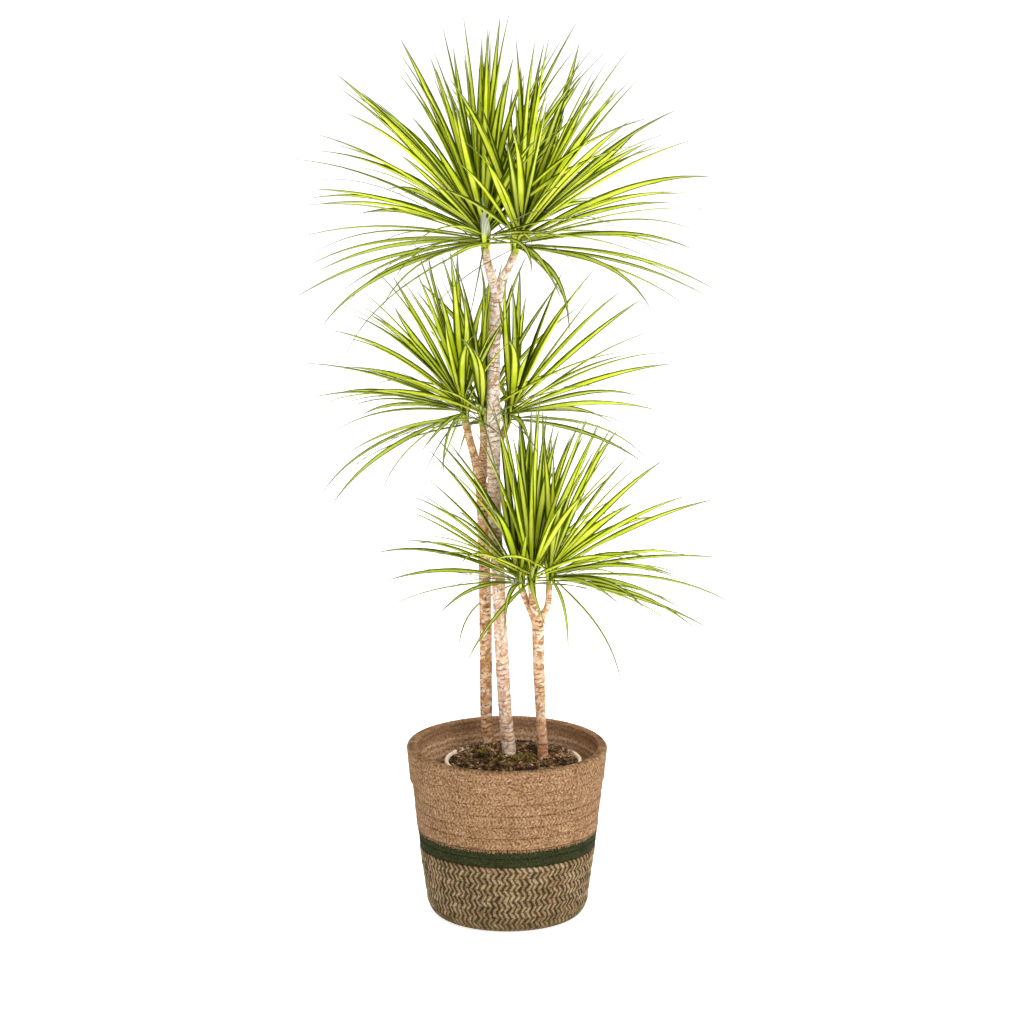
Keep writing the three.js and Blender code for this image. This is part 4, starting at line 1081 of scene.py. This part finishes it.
# %% The leaves that each head wishes for
def wished_leaves(name, place):
    """Lists of choices for each leaf: those aimed at tips, in both answers, then those that fill the head."""
    seed, length, width, core, fill, tips = HEADS[name]
    base, axis = place
    random = random_from(seed)

    def spread(low, high):
        return blend(low, high, random())

    wishes = []
    for i, (side, up) in enumerate(tips):
        steep = held(math.atan2(up, abs(side)) / (math.pi / 2), -0.6)
        bend = math.radians(blend(26, 8, max(0, steep)) - 24 * min(0, steep) + spread(-6, 8))
        root = base + axis * (core * held(0.3 + steep * 0.6, 0.16, 0.9))
        span = length * spread(0.94, 1.05)
        wide = width * blend(OLD_WIDTH, 1, held(0.4 + steep * 1.5)) * spread(0.84, 1.1)
        lean = math.radians(spread(12, 48))
        sweep = math.radians(spread(-SWEEP, SWEEP))
        first = -1 if i % 2 == 0 else 1
        choices = []
        for behind in (first, -first):
            aim = leaf_to_tip(root, base, side * 10, up * 10, bend, span, behind)
            twist = lean if math.cos(aim["turn"]) > 0 else -lean
            choices.append({"root": root, "bend": bend, "sweep": sweep, "width": wide, "twist": twist,
                            "age": held(0.75 - steep), **aim})
        wishes.append(choices)
    if name == SPEAR[0]:
        _, turn, lift, span, wide = SPEAR
        wishes.insert(0, [{"root": base + axis * (core * 0.2), "turn": math.radians(turn),
                           "lift": math.radians(lift), "bend": 0.0, "sweep": 0.0, "length": span,
                           "width": wide, "twist": 0.0, "age": ROLLED}])
    start = spread(0, 360)
    for i in range(fill):
        age = 1 - (i + 0.5) / fill
        root = base + axis * (core * blend(0.92, 0.18, age))
        leaf = {"root": root, "turn": math.radians(start + i * GOLDEN_ANGLE + spread(-14, 14))}
        leaf["lift"] = math.radians(blend(84, -2, age ** 0.8) + spread(-6, 6))
        leaf["bend"] = math.radians(blend(8, 42, age) + spread(-7, 9))
        leaf["sweep"] = math.radians(spread(-SWEEP, SWEEP))
        leaf["length"] = length * blend(0.8, 0.96, min(1, age * 2)) * spread(0.88, 1.04)
        leaf["width"] = width * blend(1, OLD_WIDTH, held(age * 2 - 0.8)) * spread(0.84, 1.06)
        leaf["twist"] = math.radians(spread(-42, 42))
        leaf["age"] = age
        wishes.append([leaf])
    return wishes


# %% [markdown]
# To see whether a leaf is clear, it is covered by thin rods along it, and so are the canes. Two rods are
# clear if the shortest distance between their middle lines is more than their two radii, and numpy
# measures all the pairs at once.


# %% Rods and the distance between them
STATIONS = [0, 5, 11, 18, 24]


def leaf_rods(stations):
    """Starts, runs and radii of three rods along each stretch of a blade."""
    middle, across, _, width = stations
    lanes = np.array([-1, 0, 1])[None, :, None] / 3
    lines = middle[:, None] + across[:, None] * lanes * width[:, None, None]
    radius = np.repeat(np.maximum(width[:-1], width[1:]) / 6 + LEAF_MARGIN, 3)
    return lines[:-1].reshape(-1, 3), (lines[1:] - lines[:-1]).reshape(-1, 3), radius


def stem_rods(points, steps):
    """Starts, runs and radii of the rods along a stem."""
    middle, radius, _, _, _ = stem_frame(points, np.linspace(0, 1, steps + 1))
    return middle[:-1], middle[1:] - middle[:-1], np.maximum(radius[:-1], radius[1:]) + LEAF_MARGIN


def rods_clear(one, other):
    """Whether all pairs of rods are apart, by the closest points of two straight pieces."""
    (p, d, r), (q, e, t) = one, other
    p, d, q, e = p[:, None], d[:, None], q[None], e[None]
    w = p - q
    a, c, b = (d * d).sum(-1), (e * e).sum(-1), (d * e).sum(-1)
    f, g = (e * w).sum(-1), (d * w).sum(-1)
    crossed = a * c - b * b
    s = np.where(crossed > 1e-9, np.clip((b * f - g * c) / np.where(crossed > 1e-9, crossed, 1), 0, 1), 0)
    u = np.clip((b * s + f) / c, 0, 1)
    s = np.clip((b * u - g) / a, 0, 1)
    gap = np.linalg.norm(w + d * s[..., None] - e * u[..., None], axis=-1)
    return bool((gap > r[:, None] + t[None]).all())


def rods_box(rods):
    """Lowest and highest corner of a box round the rods, each with its radius."""
    start, run, radius = rods
    ends = np.stack([start, start + run])
    return (ends - radius[None, :, None]).min((0, 1)), (ends + radius[None, :, None]).max((0, 1))


# %% Grow the heads together
def head_place(branch):
    """Base and axis of a head: the end of its branch, and the branch's direction turned halfway upright."""
    points = np.asarray(branch, float)[:, :3]
    run = points[-1] - points[-2]
    axis = run / np.linalg.norm(run) * 0.5 + np.array([0.0, 0.0, 0.5])
    return points[-1] + curve_ahead(points, np.array([1.0]))[0] * GAP, axis / np.linalg.norm(axis)


obstacles, places, collars = [], {}, {}
for node, stems in CANES.items():
    for key, points in stems.items():
        if key == "trunk":
            parts, owner = [stem_rods(points, len(points) - 1)], node
        else:
            places[key], collars[key] = head_place(points), points[-1][3] + CORE_COLLAR
            base, axis = places[key]
            tip_rod = (base[None], (axis * HEADS[key][3])[None], np.array([collars[key] + LEAF_MARGIN]))
            parts, owner = [stem_rods(points, 4), tip_rod], key
        rods = tuple(np.concatenate([part[k] for part in parts]) for k in range(3))
        obstacles.append((owner, rods, rods_box(rods)))

wishes = {name: wished_leaves(name, places[name]) for name in places}
grown = {name: [] for name in places}


def grow_clear(name, choices):
    """Adds to a head the first of the choices that touches no other head and no cane."""
    for turn, lift, share in WAYS_CLEAR:
        for leaf in choices:
            bent = {**leaf, "turn": leaf["turn"] + math.radians(turn),
                    "lift": leaf["lift"] + math.radians(lift), "length": leaf["length"] * share}
            rods = leaf_rods(leaf_stations(bent, STATIONS))
            low, high = rods_box(rods)
            if low[2] < RIM_CLEARANCE:
                continue
            near = [o for o in obstacles
                    if o[0] != name and (o[2][0] <= high).all() and (o[2][1] >= low).all()]
            if all(rods_clear(rods, other) for _, other, _ in near):
                grown[name].append(bent)
                obstacles.append((name, rods, (low, high)))
                return


for turn_number in range(max(len(w) for w in wishes.values())):
    for name in places:
        if turn_number < len(wishes[name]):
            grow_clear(name, wishes[name][turn_number])
print("leaves:", {name: len(leaves) for name, leaves in grown.items()})

# %% [markdown]
# A real head holds more leaves than its solid has faces for. The rest are added here among the others, as
# shorter and narrower leaves that fill the crown at every height, and a few withered ones, thin as string,
# hang below. They follow the same golden angle and give way to the neighbouring heads in the same manner.
# The leaf that is still rolled, pale as a candle, comes a little forward, and none of them covers it.

# %% The rest of the leaves
REST = {"head_tall_left": 50, "head_tall_right": 46, "head_middle_left": 24, "head_middle_centre": 19,
        "head_middle_right": 8, "head_short_left": 23, "head_short_centre": 22, "head_short_right": 6}
WITHERED = 7
SPEAR_SHIFT = np.array([2.0, -9.0, -6.0])


def rest_of(name, place, seed):
    """More leaves for a head: upright ones first, then lower ones, and last the withered ones."""
    _, length, width, core, _, _ = HEADS[name]
    base, axis = place
    rng = np.random.default_rng(seed)
    start, count = rng.uniform(0, 360), REST[name]
    for i in range(count + WITHERED):
        old = i >= count
        age = held(i / count) ** 1.3
        yield {"root": base + axis * (core * (0.12 if old else blend(0.9, 0.25, age))),
               "turn": math.radians(start + i * GOLDEN_ANGLE + rng.uniform(-14, 14)),
               "lift": math.radians(rng.uniform(-15, 35) if old
                                    else blend(84, 12, age) + rng.uniform(-12, 12)),
               "bend": math.radians(rng.uniform(18, 62) if old else blend(6, 30, age) + rng.uniform(-6, 9)),
               "sweep": math.radians(rng.uniform(-SWEEP, SWEEP)),
               "length": length * rng.uniform(0.65, 0.98) if old else length * rng.uniform(0.68, 1.0),
               "width": (rng.uniform(1.8, 2.8) if old
                         else width * blend(0.95, 0.5, age) * rng.uniform(0.75, 1.05)),
               "twist": math.radians(rng.uniform(-42, 42)), "age": WITHERED_AGE if old else age * 0.8}


def bring_forward(leaves):
    """Moves the rolled leaf in front of the neck, and keeps the sight of it clear by rods to the viewer."""
    at = next(i for i, leaf in enumerate(leaves) if leaf["age"] < 0)
    leaves[at] = {**leaves[at], "root": leaves[at]["root"] + SPEAR_SHIFT, "lift": math.radians(84),
                  "length": 68.0}
    sight = np.tile([0.0, -120.0, 120.0 * SIGHT_SLOPE], (3, 1))
    rods = (leaf_path(leaves[at])[[6, 12, 18]], sight, np.full(3, 6.0))
    obstacles.append(("sight", rods, rods_box(rods)))


bring_forward(grown[SPEAR[0]])
solid_counts = {name: len(leaves) for name, leaves in grown.items()}
for number, name in enumerate(places):
    for leaf in rest_of(name, places[name], 90 + number):
        grow_clear(name, [leaf])
print("leaves added:", {name: len(leaves) - solid_counts[name] for name, leaves in grown.items()})

# %% [markdown]
# Each new leaf unrolls from inside the sheath of the one before, so the neck of a head is a bundle of short
# clasping bases, one wrapped over another. They are blades too, short, wide and nearly upright, which start
# a little below the growing tip, where the branch ends.

# %% Sheaths
SHEATHS = 11


def sheaths_of(name, place, seed):
    """Short clasping bases round a head's neck: each starts higher up the core than the one before."""
    core, collar = HEADS[name][3], collars[name]
    base, axis = place
    rng = np.random.default_rng(seed)
    start = rng.uniform(0, 360)
    for i in range(SHEATHS):
        share = i / (SHEATHS - 1)
        turn = math.radians(start + i * GOLDEN_ANGLE)
        outwards = level(turn) * (collar - ROOT_OUT - 2.6)
        yield {"root": base + axis * blend(-5.0, core * 0.62, share) + outwards, "turn": turn,
               "lift": math.radians(rng.uniform(80, 88)), "bend": math.radians(rng.uniform(-4, 10)),
               "sweep": 0.0, "length": rng.uniform(24, 40), "width": collar * rng.uniform(1.25, 1.55),
               "twist": math.radians(rng.uniform(-8, 8)), "age": blend(0.5, 0.2, share)}


for number, name in enumerate(places):
    grown[name] += sheaths_of(name, places[name], 110 + number)

# %% [markdown]
# ### Fine blades
#
# The solid leaf is a three-sided sliver. The real one is thin and folded along its middle like a shallow
# gutter. So each section here has four corners: two edges, the gutter's bottom, and the keel below it.
# The edges are marked sharp, because a smooth shade across so thin an edge would look like a pillow.

# %% Blades as a mesh
BLADE_PLACES = np.array([0, 1.0, 2.4, 4, 6, 8, 10, 12, 14, 16, 18, 20, 22, 23.2])  # of the path's 24 steps
BLADE_POINTS = len(BLADE_PLACES) * 4 + 2
ROLLED_FOLD = 2.4  # a rolled leaf is folded this much more than the others


def blades(leaves, seed):
    """Points, faces, UVs and attributes of blades: four corners at each place and a point at the tip."""
    rng = np.random.default_rng(seed)
    rows, count, points = len(BLADE_PLACES), len(leaves), []
    s = BLADE_PLACES / PATH_STEPS
    thick = (0.55 + 0.5 * (1 - s) ** 3)[:, None]
    for leaf in leaves:
        middle, across, out, width = leaf_stations(leaf, np.append(BLADE_PLACES, PATH_STEPS))
        fold = (0.16 + 0.16 * (1 - s)) * (ROLLED_FOLD if leaf["age"] < 0 else 1)
        m, o, half = middle[:-1], out[:-1], across[:-1] * width[:-1, None] * 0.5
        edge = o * (width[:-1] * fold * 0.5)[:, None]
        gutter, keel = m - edge + o * thick / 2, m - edge - o * thick / 2
        ring = np.stack([m + half + edge, gutter, m - half + edge, keel], 1)
        points.append(np.concatenate([ring.reshape(-1, 3), middle[-1:], ring[0].mean(0, keepdims=True)]))
    starts = (np.arange(count) * BLADE_POINTS)[:, None, None]
    quads = (grid_quads(rows, 4)[None] + starts).reshape(-1, 4)
    tip, root = fan(np.arange(4) + (rows - 1) * 4, rows * 4, True), fan(np.arange(4), rows * 4 + 1, False)
    triangles = (np.concatenate([tip, root])[None] + starts).reshape(-1, 3)
    v = np.append(s, 1.0)
    quad_uv = grid_uv(rows, 4, 1.0, v[:-1])
    quad_uv[:, 0] = 1 - np.abs(2 * quad_uv[:, 0] - 1)
    left, right, middle_u = np.array([0, 0.5, 1, 0.5]), np.array([0.5, 1, 0.5, 0]), np.full(4, 0.5)
    last, zero = np.full(4, v[-2]), np.zeros(4)
    tip_uv = np.stack([left, last, right, last, middle_u, np.ones(4)], -1)
    root_uv = np.stack([right, zero, left, zero, middle_u, zero], -1)
    cap_uv = np.concatenate([tip_uv, root_uv]).reshape(-1, 2)
    uv = np.concatenate([np.tile(quad_uv, (count, 1)), np.tile(cap_uv, (count, 1))])
    values = {"age": [leaf["age"] for leaf in leaves], "tone": [rng.uniform() for _ in leaves]}
    values = {key: np.repeat(value, BLADE_POINTS) for key, value in values.items()}
    return np.concatenate(points), quads, triangles, uv, values


def tip_core(place, core, collar):
    """The green growing tip: rings from the core's base to its rounded top."""
    base, axis = place
    right = np.cross([0.0, 1.0, 0.0], axis)
    right /= np.linalg.norm(right)
    share = np.array([0.0, 0.15, 0.4, 0.7, 0.92, 1.0])
    radius = np.array([0.74, 0.72, 0.68, 0.62, 0.5, 0.25]) * collar
    angle = around(16)[:, None]
    across = right * np.cos(angle) + np.cross(axis, right) * np.sin(angle)
    ring = base + axis * (share * core)[:, None, None] + radius[:, None, None] * across
    ends = np.stack([base, base + axis * core * 1.01])
    points, quads, triangles, uv = capped(ring, ends, 1.0, share * 0.3)
    uv[len(quads) * 4:] = 0.3
    uv[:, 0] = 0.2
    flat = np.full(len(points), 0.4)
    return points, quads, triangles, uv, {"age": flat, "tone": flat}


# %% [markdown]
# ### Leaf finish
#
# The yellow stripe takes the middle third of the blade, then a band of mid green, and dark green margins run
# to a thin purple edge. u runs across the blade and v along it. Old leaves turn greyer, and their stripe is
# dull. The base of each blade is a pale sheath, and above it the margins are darkest: painted shade, deep in
# the crown.


# %% Leaf finish
def make_leaf():
    """Stripe, margins and edge across u, sheath and tip along v, and a shade for each leaf's age and tone."""
    leaf = Finish("striped_leaf", 0.5, Specular_IOR_Level=0.05)
    u, v = leaf.uv()
    age, tone = leaf.attribute("age"), leaf.attribute("tone")
    off = abs(u * 2 - 1)
    streak = leaf.noise(leaf.point(u * 24 + tone * 40, v * 2.0, tone * 9), 1.0, 2.0)
    fine = leaf.noise(leaf.point(u * 70 + tone * 90, v * 3.0, tone * 5), 1.0, 2.0)
    ragged = off + (streak - 0.5) * 0.36 + (tone - 0.46) * 0.3 + v.smooth(0.5, 1.0) * 0.22
    cloud = leaf.noise(leaf.place(), 22.0, 2.0)
    yellow = leaf.coats(leaf.mix(cloud.smooth(0.4, 0.6), "e6f236", "fbff68"),
                        (tone.smooth(0.66, 0.9) * 0.5, "e9f0a4"), (age.smooth(0.55, 0.85) * 0.75, "b9c262"))
    # Painted shade: the margins darken towards the base of each blade, deep in the crown.
    green = leaf.coats(leaf.mix(cloud.smooth(0.35, 0.65), "2f3e00", "5c6e02"),
                       (age.smooth(0.55, 0.9) * 0.5, "5c6422"), ((1 - v.smooth(0.04, 0.35)) * 0.7, "161f02"))
    dry = leaf.mix(streak.smooth(0.4, 0.6), "6b7352", "9aa07c")
    silver = leaf.mix((u * 11).frac().smooth(0.2, 0.8), "a9b294", "f2f5dc")
    colour = leaf.coats(
        yellow, (ragged.smooth(0.37, 0.47), "b4c81a"), (ragged.smooth(0.53, 0.64), green),
        (fine.smooth(0.55, 0.66) * 0.3, "8aa01c"), (off.smooth(0.88, 0.98) * 0.5, "33230f"),
        (v.smooth(0.68, 1.0) * 0.8, "747a56"), ((1 - v.smooth(0.015, 0.07)) * 0.75, "b9c443"),
        (age.smooth(1.2, 1.4), dry), ((age * -1).smooth(0.5, 0.6) * v.smooth(0.12, 0.4), silver))
    vein = (u * (TURN * 13)).sin()
    return leaf.finish(colour, vein * 0.3 + streak * 0.5, 0.35, 0.0004, cloud * 0.16 + 0.38)


striped_leaf = make_leaf()

# %% Build the heads
for number, (name, leaves) in enumerate(grown.items()):
    head = mesh_of(name + "_leaves", *joined([
        blades(leaves, 70 + number), tip_core(places[name], HEADS[name][3], collars[name])]))
    ends = np.zeros(len(head.data.edges) * 2, np.int32)
    head.data.edges.foreach_get("vertices", ends)
    low, high = np.sort(ends.reshape(-1, 2), axis=1).T
    lengthwise = (high - low == 4) & (high < len(leaves) * BLADE_POINTS)
    place_in_blade = low % BLADE_POINTS
    rim = lengthwise & (place_in_blade % 4 % 2 == 0) & (place_in_blade < BLADE_POINTS - 2)
    head.data.attributes.new("sharp_edge", "BOOLEAN", "EDGE").data.foreach_set("value", rim)
    take_place(head, "leaf", striped_leaf, name)

# %% [markdown]
# ## Light, floor and camera
#
# The photograph is bright and almost without shadow: soft light from all round, a little stronger from
# the front, over a white floor. The camera is far away with a long lens and looks down by 13.5 degrees.


# %% Floor, lights and camera
white = Finish("white_floor", 0.9, Emission_Color=(1.0, 1.0, 1.0, 1.0), Emission_Strength=0.8)
shade = white.noise(white.place(), 3.0)
white_floor = white.finish(white.mix(shade * 0.06, (0.93, 0.93, 0.93, 1.0), (0.8, 0.8, 0.8, 1.0)))
floor_mesh = bpy.data.meshes.new("floor")
reach = 40.0
floor_mesh.from_pydata([(-reach, -reach, 0), (reach, -reach, 0), (reach, reach, 0), (-reach, reach, 0)], [],
                       [(0, 1, 2, 3)])
floor_mesh.materials.append(white_floor)


def staged(name, data, place=(0.0, 0.0, 0.0), rotation=(0.0, 0.0, 0.0)):
    """Adds an object that belongs to the picture only and not to the plant."""
    holder = bpy.data.objects.new(name, data)
    holder.location, holder.rotation_euler = place, rotation
    bpy.context.scene.collection.objects.link(holder)


staged("floor", floor_mesh)
world = bpy.data.worlds.new("soft_white")
world.use_nodes = True
background = world.node_tree.nodes["Background"]
background.inputs["Color"].default_value = (1.0, 1.0, 1.0, 1.0)
background.inputs["Strength"].default_value = 0.46
bpy.context.scene.world = world
bpy.context.scene.view_settings.view_transform = "Standard"


LOOK_AT = (0.0, 0.0, 0.6)
EYE, LOOK_DOWN, LENS = (0.006, -6.859, 2.189), 13.47, 190.0


def soft_light(name, place, size, watts):
    """A square area light at a place in metres that looks at the middle of the plant."""
    lamp = bpy.data.lights.new(name, "AREA")
    lamp.size, lamp.energy = size, watts
    gaze = np.array(LOOK_AT) - np.array(place)
    tilt = math.atan2(math.hypot(gaze[0], gaze[1]), -gaze[2])
    staged(name, lamp, place, (tilt, 0.0, math.atan2(-gaze[0], gaze[1])))


soft_light("key_light", (2.1, -2.9, 3.0), 2.6, 116.0)
soft_light("fill_light", (-2.6, -2.6, 1.6), 2.0, 3.0)
soft_light("top_light", (0.3, 0.9, 3.6), 2.0, 64.0)

camera = bpy.data.cameras.new("camera")
camera.lens, camera.sensor_width = LENS, 36.0
camera.clip_end = 200.0
eye = bpy.data.objects.new("camera", camera)
eye.location = EYE
eye.rotation_euler = (math.radians(90 - LOOK_DOWN), 0.0, 0.0)
bpy.context.scene.collection.objects.link(eye)
bpy.context.scene.camera = eye
